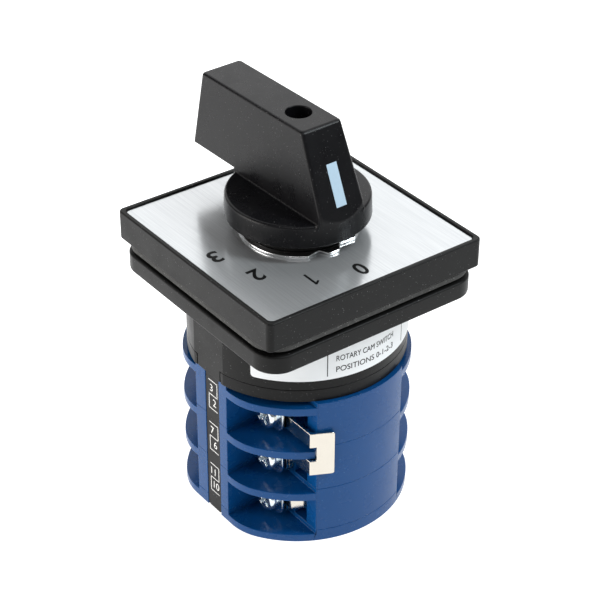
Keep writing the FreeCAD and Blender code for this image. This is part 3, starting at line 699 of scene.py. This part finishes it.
def stage_housing(stage):
    """Moulded stage: outer walls, shelf over the terminals and the chambers inside."""
    floor = FLOORS[stage]
    top = floor + STAGE_PITCH
    roof = floor + POCKET_ROOF
    middle = floor + TERMINAL_RISE
    cuts = pocket_cuts(floor - 1, roof) + pocket_cuts(top - LIP, top + 1)
    cuts += groove_cuts(floor - 1, top + 1) + bolt_cuts(floor - 1, top + 1)
    cuts += chamber_cuts(floor, roof)
    recess = block((POCKET_BACK - RECESS_DEPTH, POCKET_BACK + 1), RECESS_Y, (floor - 1, roof))
    cuts += quadrants(recess)
    cuts += quadrants(rod(SCREW_HOLE_R, (SCREW_HOLE_END, POCKET_BACK + 1), TERMINAL_Y, middle))
    shell = soften(combined(drum(floor, top), cuts), MOULD_EDGE, steps=2)
    name = f"stage_moulding_{stage}"
    return finished(shell, name, "body", "blue_plastic", f"stage_housing_{stage}")


def base_cover():
    """Rear cover with the lowest shelf and the bolt recesses."""
    cuts = pocket_cuts(BASE_PLATE, BASE_TOP + 1) + groove_cuts(-1, BASE_TOP + 1)
    cuts += bolt_cuts(-1, BASE_TOP + 1) + bolt_cuts(-1, BOLT_SINK, BOLT_HEAD_R)
    cuts.append(disc(BORE_R, COVER_FLOOR, BASE_TOP + 1))
    cover = soften(combined(drum(0, BASE_TOP), cuts), MOULD_EDGE, steps=2)
    return finished(cover, "rear_base_moulding", "body", "blue_plastic", "base_cover")


# ---------------------------------------------------------------- terminals
QUADRANTS = ((1, 1), (-1, 1), (-1, -1), (1, -1))


def stage_terminals(stage, make):
    """A piece at each terminal of one stage; it is made on the X axis."""
    z = FLOORS[stage] + TERMINAL_RISE
    return [placed(make(), mirror(x, y) @ shift(y=TERMINAL_Y, z=z)) for x, y in QUADRANTS]


def every_terminal(make):
    """A fastener of each terminal, in all quadrants of all stages."""
    return merged([piece for stage in STAGES for piece in stage_terminals(stage, make)])


def square_washer(x, thickness, half=CLAMP_HALF, corner=CLAMP_CORNER):
    """Square plate across the X axis with round corners and a screw hole."""
    plate = placed(prism(rounded_rectangle(half, half, corner), x, x + thickness), ALONG_X)
    return combined(plate, [rod(WASHER_BORE_R, (x - 1, x + thickness + 1), 0, 0)])


def terminal_plate():
    """Fixed terminal: screw plate, strip through the wall and its contact tip."""
    low, high = (y - TERMINAL_Y for y in STRIP_Y)
    strip = block((CONTACT_REACH, POCKET_BACK + 0.2), (low + 0.05, high - 0.05),
                  (-STRIP_HALF_H, STRIP_HALF_H))
    tip = block(CONTACT_TIP_X, (high - 0.3, high + CONTACT_TIP_RISE),
                (-CONTACT_TIP_HALF, CONTACT_TIP_HALF))
    return merged([square_washer(POCKET_BACK, PLATE_T, PLATE_HALF, PLATE_CORNER), strip, tip])


def screw():
    """Pan head screw along X, with a cross recess at a chance angle."""
    x = HEAD_BASE
    dome = [(HEAD_R - HEAD_ROUND + px, x + HEAD_H - HEAD_ROUND + pz)
            for px, pz in arc(HEAD_ROUND, 0, 80, 8)]
    profile = [(SHANK_R, SHANK_END), (SHANK_R, x), (HEAD_R - HEAD_CHAMFER, x),
               (HEAD_R, x + HEAD_CHAMFER)] + dome
    head = placed(turned(profile, steps=SMALL_STEPS), ALONG_X)
    depth = (x + HEAD_H - CROSS_DEPTH, x + HEAD_H + 1)
    along, across = [(-half, half) for half in CROSS_HALF]
    flutes = [block(depth, along, across), block(depth, across, along)]
    cone = placed(turned([(0.25, x + HEAD_H - 1.6), (1.25, x + HEAD_H + 0.2)], steps=24), ALONG_X)
    spin = turn(RANDOM.uniform(5, 85), "X")
    return combined(head, [placed(tool, spin) for tool in flutes + [cone]])


def lock_washer():
    """Split spring washer, its cut ends sprung slightly apart."""
    x = CLAMP_FACE + WASHER_T
    profile = [(WASHER_BORE_R, x + 0.05), (LOCK_R, x), (LOCK_R, x + LOCK_T),
               (WASHER_BORE_R, x + LOCK_T - 0.05)]
    ring = placed(turned_ring(profile, steps=SMALL_STEPS), ALONG_X)
    split = block((x - 1, x + 2), (-LOCK_SPLIT, LOCK_SPLIT), (1, 4))
    return combined(ring, [placed(split, turn(RANDOM.uniform(0, 360), "X"))])


def clamp_washer():
    return square_washer(CLAMP_FACE, WASHER_T)


def terminal_fasteners():
    """Screws, spring washers and clamp plates of every terminal, and the fixed terminals."""
    kinds = ((screw, "clamp_screws", "terminal_screws", SCREW_EDGE),
             (lock_washer, "spring_washers", "lock_washers", SCREW_EDGE),
             (clamp_washer, "wire_clamps", "clamp_washers", CLAMP_EDGE))
    for make, name, node, width in kinds:
        finished(soften(every_terminal(make), width, steps=2), name, "body", "zinc_steel", node)
    for stage in STAGES:
        group = soften(merged(stage_terminals(stage, terminal_plate)), LINK_EDGE, steps=2)
        finished(group, f"fixed_terminals_{stage}", "body", "contact_brass", f"terminals_{stage}")


# ---------------------------------------------------------------- links
def link_tab(stage):
    """Flat end of a link under a terminal screw."""
    tab = square_washer(LINK_FACE - LINK_T, LINK_T, *LINK_TAB)
    return placed(tab, shift(y=TERMINAL_Y, z=FLOORS[stage] + TERMINAL_RISE))


def link_arm(bend_y, width, low, high):
    """Leg out along +Y, then a plate with round corners that leans back by the drum's wall."""
    lean = math.radians(LINK_LEAN)
    run, rise = math.cos(lean), math.sin(lean)
    inner = LINK_FACE - LINK_T
    inner_bend = bend_y - LINK_T * (1 - rise) / run
    far = (LINK_FACE - width * run, bend_y + width * rise)
    start = TERMINAL_Y + LINK_START
    profile = [(LINK_FACE, start), (LINK_FACE, bend_y), far,
               (far[0] - LINK_T * rise, far[1] - LINK_T * run),
               (inner, inner_bend), (inner, start)]
    arm = prism(profile, low, high)
    left = far[0] - LINK_T * rise
    reach = 2 * LINK_FACE - left
    outline = rounded_rectangle((reach - left) / 2, (high - low) / 2, LINK_CORNER,
                                x=(reach + left) / 2, y=(high + low) / 2)
    return combined(arm, [placed(prism(outline, 0, 60), UPRIGHT)], "INTERSECT")


def jumper():
    """Link from stage 1 to stage 2: a leg out of each pocket and a plate round the shelf."""
    shelf = FLOORS[2] + POCKET_ROOF
    notch = (shelf - 0.1, shelf + SHELF + 2.0)
    arm = link_arm(JUMPER_BEND_Y, JUMPER_WIDTH, notch[0] - JUMPER_EAR, notch[1] + JUMPER_EAR)
    combined(arm, [block(JUMPER_NOTCH_X, (0, 40), notch)])
    group = soften(merged([arm, link_tab(1), link_tab(2)]), LINK_EDGE)
    return finished(group, "terminal_jumper", "body", "tinned_link", "jumper_link")


def end_tab():
    """Short link under a terminal of stage 3, bent back into the recess beside it."""
    middle = FLOORS[3] + TERMINAL_RISE
    low, high = (middle + rise for rise in END_TAB_RISE)
    arm = link_arm(TERMINAL_Y + END_TAB_REACH, END_TAB_WIDTH, low, high)
    group = soften(merged([arm, link_tab(3)]), LINK_EDGE)
    return finished(group, "short_link", "body", "tinned_link", "end_link")


# ---------------------------------------------------------------- number strips
def strip_matrix(side):
    """From the strip's own plane (x across, y up) to its face on the +X or the -X rib."""
    face = DRUM_FLAT - STRIP_DEPTH
    stand = Matrix(((0, 0, 1, face), (1, 0, 0, 0), (0, 1, 0, 0), (0, 0, 0, 1)))
    return shift(y=GROOVE_Y) @ (stand if side > 0 else turn(180) @ stand)


def lettering(text, height, matrix, depth=0.03, width=None, bold=0.0):
    """Printed characters lying on the XY plane of a matrix, centred on its origin."""
    curve = bpy.data.curves.new("text", "FONT")
    curve.body = text
    curve.extrude = 0.5
    curve.offset = bold
    source = bpy.data.objects.new("text", curve)
    SCENE.collection.objects.link(source)
    graph = bpy.context.evaluated_depsgraph_get()
    mesh = bpy.data.meshes.new_from_object(source.evaluated_get(graph))
    bpy.data.objects.remove(source)
    bm = bmesh.new()
    bm.from_mesh(mesh)
    bmesh.ops.remove_doubles(bm, verts=bm.verts, dist=1e-5)
    xs = [v.co.x for v in bm.verts]
    ys = [v.co.y for v in bm.verts]
    tall = height / (max(ys) - min(ys))
    wide = width / (max(xs) - min(xs)) if width else tall
    for v in bm.verts:
        v.co.x = (v.co.x - (max(xs) + min(xs)) / 2) * wide
        v.co.y = (v.co.y - (max(ys) + min(ys)) / 2) * tall
        v.co.z *= depth
    return placed(linked("text", bm), matrix)


def step_frame(rise):
    """Stepped line box round one stage's two numbers, as thin bars."""
    left, right = STRIP_SHIFT - STEP_HALF, STRIP_SHIFT + STEP_HALF
    depth = (-PRINT_PROUD, PRINT_PROUD)
    levels = (rise + STEP_CELL, rise, rise - STEP_CELL)
    bars = [block((left, right), (y - STEP_LINE / 2, y + STEP_LINE / 2), depth) for y in levels]
    bars.append(block((right - STEP_LINE, right), (levels[1], levels[0]), depth))
    bars.append(block((left, left + STEP_LINE), (levels[2], levels[1]), depth))
    return bars


def number_strip(name, side, numbers):
    """Black strip with the terminal numbers of every stage."""
    low, high = span(f"number_strip_{name}")
    half = (high.y - low.y) / 2
    outline = rounded_rectangle(half, (high.z - low.z) / 2, STRIP_CORNER, y=(high.z + low.z) / 2)
    plane = strip_matrix(side)
    strip = soften(placed(prism(outline, low.x - high.x, 0), plane), STRIP_EDGE, steps=2)
    finished(strip, f"strip_{name}", "body", "black_plastic", f"number_strip_{name}")
    marks = []
    for stage, (upper, lower) in zip(STAGES, numbers):
        rise = FLOORS[stage] + STEP_RISE
        marks += [placed(bar, plane) for bar in step_frame(rise)]
        for text, x, y in zip((upper, lower), NUMBER_SHIFT, (NUMBER_RISE, -NUMBER_RISE)):
            place = plane @ shift(STRIP_SHIFT + x, rise + y)
            marks.append(lettering(text, NUMBER_H, place))
    return printed(merged(marks), f"strip_numbers_{name}", WHITE_INK, "white_moulding")


def printed(piece, name, ink, slot):
    """A thin print in its own ink."""
    finished(piece, name, "body", slot)
    piece.data.materials[0] = ink
    return piece


# ---------------------------------------------------------------- housing, label and front plates
def wrapped_patch(inner, outer, start, end, low, high, corner=0.0, steps=64):
    """Patch of a cylinder between two angles and two heights, with rounded corners."""
    rings = []
    for k in range(steps + 1):
        share = (1 - math.cos(math.pi * k / steps)) / 2
        angle = start + (end - start) * share
        edge = math.radians(min(angle - start, end - angle)) * outer
        inset = 0.0
        if edge < corner:
            inset = corner - math.sqrt(corner ** 2 - (corner - edge) ** 2)
        inset = min(inset, (high - low) / 2 - 0.02)
        z = (low + inset, high - inset)
        section = ((inner, z[0]), (outer, z[0]), (outer, z[1]), (inner, z[1]))
        rings.append([cylinder_point(radius, angle, height) for radius, height in section])
    return loft(rings)


def mechanism_housing():
    """Round housing of the detent mechanism, with its floor and front collar."""
    roof = FLANGE[0] - HOUSING_ROOF_T
    shell = prism(flatted_circle(HOUSING_R, HOUSING_FLAT), HOUSING_LOW, FLANGE[0])
    shell = combined(shell, [disc(COLLAR_R, FLANGE[0] - 1, BEZEL[0], steps=MIDDLE_STEPS)], "UNION")
    cavity = disc(HOUSING_CAVITY_R, HOUSING_LOW - 1, roof, steps=MIDDLE_STEPS)
    combined(shell, [cavity, disc(BORE_R, roof - 1, BEZEL[0] + 1)])
    tongue = block((HOUSING_FLAT - TONGUE_T, HOUSING_FLAT), (-TONGUE_HALF, TONGUE_HALF),
                   (STACK_TOP + 0.05, HOUSING_LOW + 1))
    soften(combined(shell, both_sides(tongue, x=-1), "UNION"), HOUSING_EDGE)
    finished(shell, "detent_housing", "body", "black_plastic", "mechanism_housing")
    floor = prism(flatted_circle(HOUSING_R, HOUSING_FLAT), STACK_TOP, HOUSING_LOW)
    through = (STACK_TOP - 1, HOUSING_LOW + 1)
    holes = [disc(BORE_R, *through)] + bolt_cuts(*through)
    gap = TONGUE_HALF + TONGUE_GAP
    gaps = block((HOUSING_FLAT - TONGUE_T - 0.1, HOUSING_FLAT + 1), (-gap, gap), through)
    soften(combined(floor, holes + both_sides(gaps, x=-1)), MOULD_EDGE)
    return finished(floor, "detent_housing_floor", "body", "black_plastic", "housing_base")


def wrapped_text(text, height, radius, start, z):
    """Characters standing on a cylinder, read towards growing angles from a start angle."""
    flat = lettering(text, height, Matrix.Identity(4), 0.08, LETTER_WIDTH * height * len(text))
    left = min(v.co.x for v in flat.data.vertices)
    for v in flat.data.vertices:
        angle = math.degrees((v.co.x - left) / MM / radius)
        point = Vector(cylinder_point(radius + v.co.z / MM, start + angle, z + v.co.y / MM))
        v.co = point * MM
    return flat


def side_label():
    """Foil label with a generic layout: two dividers and two lines of plain words."""
    low, high = span("side_label")
    outer = high.y
    foil = wrapped_patch(HOUSING_R + 0.01, outer, *LABEL_ARC, low.z, high.z, LABEL_CORNER)
    finished(foil, "foil_label", "body", "silver_label", "side_label")
    marks = []
    for angle in LABEL_LINES:
        marks.append(wrapped_patch(outer - 0.05, outer + 0.02, angle, angle + LABEL_LINE_WIDTH,
                                   low.z + LABEL_LINE_INSET, high.z - LABEL_LINE_INSET, steps=2))
    for text, rise in zip(("ROTARY CAM SWITCH", "POSITIONS 0-1-2-3"), LABEL_TEXT_RISE):
        marks.append(wrapped_text(text, LABEL_TEXT_H, outer, LABEL_TEXT_START, low.z + rise))
    return printed(merged(marks), "label_marks", BLACK_INK, "silver_label")


def corner_holes(low, high, radius=PANEL_HOLE_R):
    return [disc(radius, low, high, x=x, y=y)
            for x in (-PANEL_HOLE, PANEL_HOLE) for y in (-PANEL_HOLE, PANEL_HOLE)]


def front_plates():
    """Mounting flange, gasket, bezel and dial plate."""
    half = span("mounting_flange")[1].x
    flange = prism(rounded_rectangle(half, half, FLANGE_CORNER, 24), *FLANGE)
    narrow, wide = (FLANGE[0] + rise for rise in COUNTERSINK)
    countersink = [(FLANGE_SCREW_R, FLANGE[0] - 1), (FLANGE_SCREW_R, narrow),
                   (FLANGE_SCREW_HEAD_R, wide), (FLANGE_SCREW_HEAD_R, FLANGE[1] + 1)]
    cuts = corner_holes(FLANGE[0] - 1, FLANGE[1] + 1)
    for x in (-FLANGE_SCREW, FLANGE_SCREW):
        for y in (-FLANGE_SCREW, FLANGE_SCREW):
            cuts.append(placed(turned(countersink, steps=SMALL_STEPS), shift(x, y)))
    cuts.append(disc(COLLAR_R + 0.05, FLANGE[0] - 1, FLANGE[1] + 1, steps=MIDDLE_STEPS))
    soften(combined(flange, cuts), FLANGE_EDGE)
    finished(flange, "square_flange", "body", "black_plastic", "mounting_flange")

    half = span("gasket")[1].x
    gasket = prism(rounded_rectangle(half, half, GASKET_CORNER, 24), *GASKET)
    cuts = corner_holes(GASKET[0] - 1, GASKET[1] + 1, GASKET_HOLE_R)
    cuts.append(disc(COLLAR_R + 0.1, GASKET[0] - 1, GASKET[1] + 1, steps=MIDDLE_STEPS))
    soften(combined(gasket, cuts), GASKET_EDGE)
    finished(gasket, "panel_gasket", "body", "black_rubber", "gasket")
    bezel()
    dial_plate()


def bezel():
    """Square front frame with a raised rim and a ledge for the dial plate."""
    front = prism(rounded_rectangle(FRONT_HALF, FRONT_HALF, BEZEL_CORNER, 12), *BEZEL)
    window = FRONT_HALF - BEZEL_RIM
    ledge = DIAL_TOP - DIAL_T
    cuts = [prism(rounded_rectangle(window, window, BEZEL_WINDOW_CORNER), ledge, BEZEL[1] + 1)]
    cuts.append(disc(SEAL_FOOT_R + 0.1, BEZEL[0] + BEZEL_FLOOR, BEZEL[1], steps=MIDDLE_STEPS))
    cuts.append(disc(BORE_R, BEZEL[0] - 1, BEZEL[1]))
    cuts += corner_holes(BEZEL[0] - 1, BEZEL[0] + BEZEL_HOLE_DEPTH)
    soften(combined(front, cuts), BEZEL_EDGE)
    return finished(front, "front_bezel", "body", "black_plastic", "bezel")


def dial_plate():
    """Brushed plate with the position numbers round its quarter of travel."""
    half = span("dial_plate")[1].x
    plate = prism(rounded_rectangle(half, half, DIAL_CORNER), DIAL_TOP - DIAL_T, DIAL_TOP)
    combined(plate, [disc(SEAL_FOOT_R + 0.1, DIAL_TOP - 2, DIAL_TOP + 1, steps=MIDDLE_STEPS)])
    soften(plate, DIAL_EDGE, steps=2)
    finished(plate, "brushed_dial", "body", "brushed_plate", "dial_plate")
    marks = []
    for position, width in enumerate(DIAL_NUMBER_WIDTHS):
        x, y, z = cylinder_point(DIAL_NUMBER_R, 90 - DIAL_STEP * position, DIAL_TOP)
        place = shift(x, y, z)
        marks.append(lettering(str(position), DIAL_NUMBER_H, place, 0.06, width, bold=0.02))
        if position == 1:
            along, across = [(-half, half) for half in FLAG_HALF]
            flag = block(along, across, (-PRINT_PROUD, PRINT_PROUD))
            marks.append(placed(flag, place @ shift(*FLAG_SHIFT) @ turn(FLAG_TURN)))
    return printed(merged(marks), "dial_numbers", BLACK_INK, "brushed_plate")


# ---------------------------------------------------------------- ring, seal collar and handle
def dial_arc(start, end, radius, other_radius, steps):
    """Points at angles clockwise from position 0, the radius changing evenly on the way."""
    points = []
    for k in range(steps + 1):
        share = k / steps
        points.append(cylinder_point(radius + (other_radius - radius) * share,
                                     90 - start - (end - start) * share, 0)[:2])
    return points


def stop_ring():
    """Bright ring with two notches, lying on the dial plate round the seal collar."""
    outline = dial_arc(28, 15, RING_R, RING_NOTCH_R, 1) + dial_arc(9, -3, RING_R, RING_R, 6)
    outline += dial_arc(-10, -28, RING_NOTCH_R, RING_R - 0.4, 1)
    outline += dial_arc(-40, -170, RING_R - 0.8, RING_BACK_R, 40)
    outline += dial_arc(-175, -250, RING_BACK_R, RING_BACK_R, 20)
    outline += dial_arc(-255, -292, RING_BACK_R, RING_R - 0.3, 12)
    outline += dial_arc(-295, -322, RING_R - 0.3, RING_R, 8)
    ring = prism(outline, DIAL_TOP, DIAL_TOP + RING_T)
    combined(ring, [disc(SEAL_FOOT_R + 0.1, DIAL_TOP - 1, DIAL_TOP + 3, steps=ROUND_STEPS)])
    soften(ring, RING_EDGE)
    return finished(ring, "notched_ring", "body", "bright_ring", "stop_ring")


def seal_collar():
    """Black collar under the handle that holds the shaft seal."""
    step = DIAL_TOP + RING_T
    profile = [(SEAL_FOOT_R, DIAL_TOP - 4.0), (SEAL_FOOT_R, step + 0.05), (SEAL_R, step + 0.05),
               (SEAL_R, SKIRT_Z - 0.3)]
    collar = turned(profile)
    cuts = [disc(BORE_R, DIAL_TOP - 5, SKIRT_Z, steps=MIDDLE_STEPS)]
    for angle in (45, 135, 225, 315):
        x, y = cylinder_point(SEAL_SCREW_CIRCLE, angle, 0)[:2]
        cuts.append(disc(SEAL_SCREW_R, SKIRT_Z - SEAL_SCREW_DEPTH, SKIRT_Z + 1, x=x, y=y))
    soften(combined(collar, cuts), SEAL_EDGE)
    return finished(collar, "seal_housing", "body", "black_plastic", "seal_collar")


def blade_size(z):
    """Half width, rear and front of the grip at a height."""
    share = (BLADE_TOP - z) / (BLADE_TOP - SKIRT_TOP)
    half = BLADE_TOP_HALF + (BLADE_FOOT_HALF - BLADE_TOP_HALF) * share
    rear = BLADE_TOP_Y[0] + (BLADE_FOOT_Y[0] - BLADE_TOP_Y[0]) * share
    front = BLADE_TOP_Y[1] + (BLADE_FOOT_Y[1] - BLADE_TOP_Y[1]) * share
    return half, rear, front


def blade_ring(z, inset):
    half, rear, front = blade_size(z)
    outline = rounded_rectangle(half - inset, (front - rear) / 2 - inset, BLADE_CORNER, 8,
                                y=(front + rear) / 2)
    return [(x, y, z) for x, y in outline]


def blade():
    """Tapered grip with rounded upright corners and crown, trimmed to the skirt in front."""
    low = SKIRT_TOP - 1.0
    shoulder = BLADE_TOP - BLADE_CROWN
    rings = [blade_ring(low, 0), blade_ring(shoulder, 0)]
    for k in range(1, 7):
        angle = math.pi / 2 * k / 6
        rings.append(blade_ring(shoulder + BLADE_CROWN * math.sin(angle),
                                BLADE_CROWN * (1 - math.cos(angle))))
    rear = block((-20, 20), (-60, -SKIRT_R + 1.2), (low - 1, OVERHANG_Z))
    front = combined(block((-20, 20), (0, 40), (low - 1, BLADE_TOP + 1)),
                     [disc(SKIRT_R - 0.25, low - 2, BLADE_TOP + 2, steps=ROUND_STEPS)])
    return combined(placed(combined(loft(rings), [rear]), turn(BLADE_SKEW)), [front])


def pointer_matrix():
    """From the mark's own frame to the middle of the sloping pointer face."""
    middle = (span("pointer_inlay")[0].z + span("pointer_inlay")[1].z) / 2
    slope = math.degrees(math.atan2(BLADE_FOOT_Y[1] - BLADE_TOP_Y[1], BLADE_TOP - SKIRT_TOP))
    return turn(BLADE_SKEW) @ shift(y=blade_size(middle)[2], z=middle) @ turn(slope, "X")


def handle():
    """Knob skirt with the tapered grip across it and a screw well on the axis."""
    edge = SKIRT_R - SKIRT_TAPER - RIM
    rim = [(edge + r, SKIRT_TOP - RIM + z) for r, z in arc(RIM, 0, 90, 3)]
    skirt = turned([(SKIRT_R, SKIRT_Z)] + rim)
    body = combined(skirt, [blade()], "UNION")
    inside, roof = SKIRT_R - SKIRT_WALL, SKIRT_TOP - SKIRT_ROOF
    square = (-SHAFT_HALF, SHAFT_HALF)
    cuts = [turned_ring([(inside, SKIRT_Z - 1), (inside, roof), (HUB_R, roof), (HUB_R, SKIRT_Z - 1)]),
            block(square, square, (SKIRT_Z - 1, SHAFT_TOP + 0.1)),
            disc(HANDLE_SCREW_R, SHAFT_TOP - 1, WELL_FLOOR + 1),
            disc(WELL_R, WELL_FLOOR, BLADE_TOP + 1)]
    soften(combined(body, cuts), HANDLE_EDGE)
    finished(body, "rotary_handle", "rotor", "handle_plastic", "handle")
    width, length = [(-half, half) for half in MARK_HALF]
    mark = placed(block(width, (-0.5, 0.05), length), pointer_matrix())
    soften(mark, MARK_EDGE, steps=2)
    return finished(mark, "pointer_mark", "rotor", "pale_blue_inlay", "pointer_inlay")


# ---------------------------------------------------------------- studio
def studio_light(name, azimuth, elevation, distance, width, height, power, colour=(1, 1, 1)):
    """Soft rectangular light aimed at the middle of the object; metres and watts."""
    light = bpy.data.lights.new(name, "AREA")
    light.shape = "RECTANGLE"
    light.size = width
    light.size_y = height
    light.energy = power
    light.color = colour
    lamp = bpy.data.objects.new(name, light)
    SCENE.collection.objects.link(lamp)
    aim_at(lamp, Vector((0, 0, 0.06)), azimuth, elevation, distance)
    return lamp


def aim_at(thing, target, azimuth, elevation, distance, roll=0.0):
    """Puts a camera or lamp round a target, from angles in degrees, and points it there."""
    a, e = math.radians(azimuth), math.radians(elevation)
    away = Vector((math.cos(e) * math.cos(a), math.cos(e) * math.sin(a), math.sin(e)))
    thing.location = target + distance * away
    facing = (-away).to_track_quat("-Z", "Y").to_matrix().to_4x4()
    thing.rotation_euler = (facing @ turn(roll)).to_euler()


def camera():
    lens = bpy.data.cameras.new("camera")
    lens.lens = 110.34
    lens.sensor_width = 36.0
    eye = bpy.data.objects.new("camera", lens)
    SCENE.collection.objects.link(eye)
    aim_at(eye, Vector((-0.0004, 0.0006, 0.0555)), 52.83, 33.5, 0.470, roll=0.42)
    SCENE.camera = eye


def floor():
    """White paper that glows a little more on the side that the grip's flank reflects."""
    ground = prism(rectangle((-2500, 2500), (-2500, 2500)), -6, -0.05, "floor")
    paper = Surface("floor_paper", (0.60, 0.60, 0.60), 0.7, specular=0.2)
    paper.shader.inputs["Emission Color"].default_value = (1, 1, 1, 1)
    along = paper.nodes.new("ShaderNodeVectorMath")
    along.operation = "DOT_PRODUCT"
    along.inputs[1].default_value = (0.6, -0.8, 0.0)
    paper.links.new(paper.place, along.inputs[0])
    glow = paper.ranged(along.outputs["Value"], 0.74, 1.10, start=-0.04, end=0.10)
    paper.links.new(glow, paper.shader.inputs["Emission Strength"])
    paper.bump(paper.noise(4.0, 3.0), 0.02)
    ground.data.materials.append(paper.material)


def studio():
    world = bpy.data.worlds.new("studio")
    world.use_nodes = True
    sky = world.node_tree.nodes["Background"]
    sky.inputs["Color"].default_value = (1, 1, 1, 1)
    sky.inputs["Strength"].default_value = 0.17
    SCENE.world = world
    SCENE.view_settings.view_transform = "Standard"
    studio_light("back_softbox", 233, 40, 1.0, 1.7, 1.2, 8.8)
    studio_light("side_softbox", -20, 12, 0.75, 0.5, 0.45, 3.5, (1.0, 0.95, 0.91))
    studio_light("rim_softbox", 131, 50, 0.80, 0.16, 0.50, 4.2, (0.90, 0.97, 1.0))
    studio_light("front_softbox", 53, 58, 0.80, 0.45, 0.16, 0.9)
    camera()
    floor()


# ---------------------------------------------------------------- making it all
def build():
    dress_frame()
    for stage in STAGES:
        stage_housing(stage)
    base_cover()
    terminal_fasteners()
    jumper()
    end_tab()
    number_strip("front", 1, (("3", "2"), ("7", "6"), ("11", "10")))
    number_strip("rear", -1, (("4", "1"), ("8", "5"), ("12", "9")))
    mechanism_housing()
    side_label()
    front_plates()
    stop_ring()
    seal_collar()
    handle()


studio()
build()
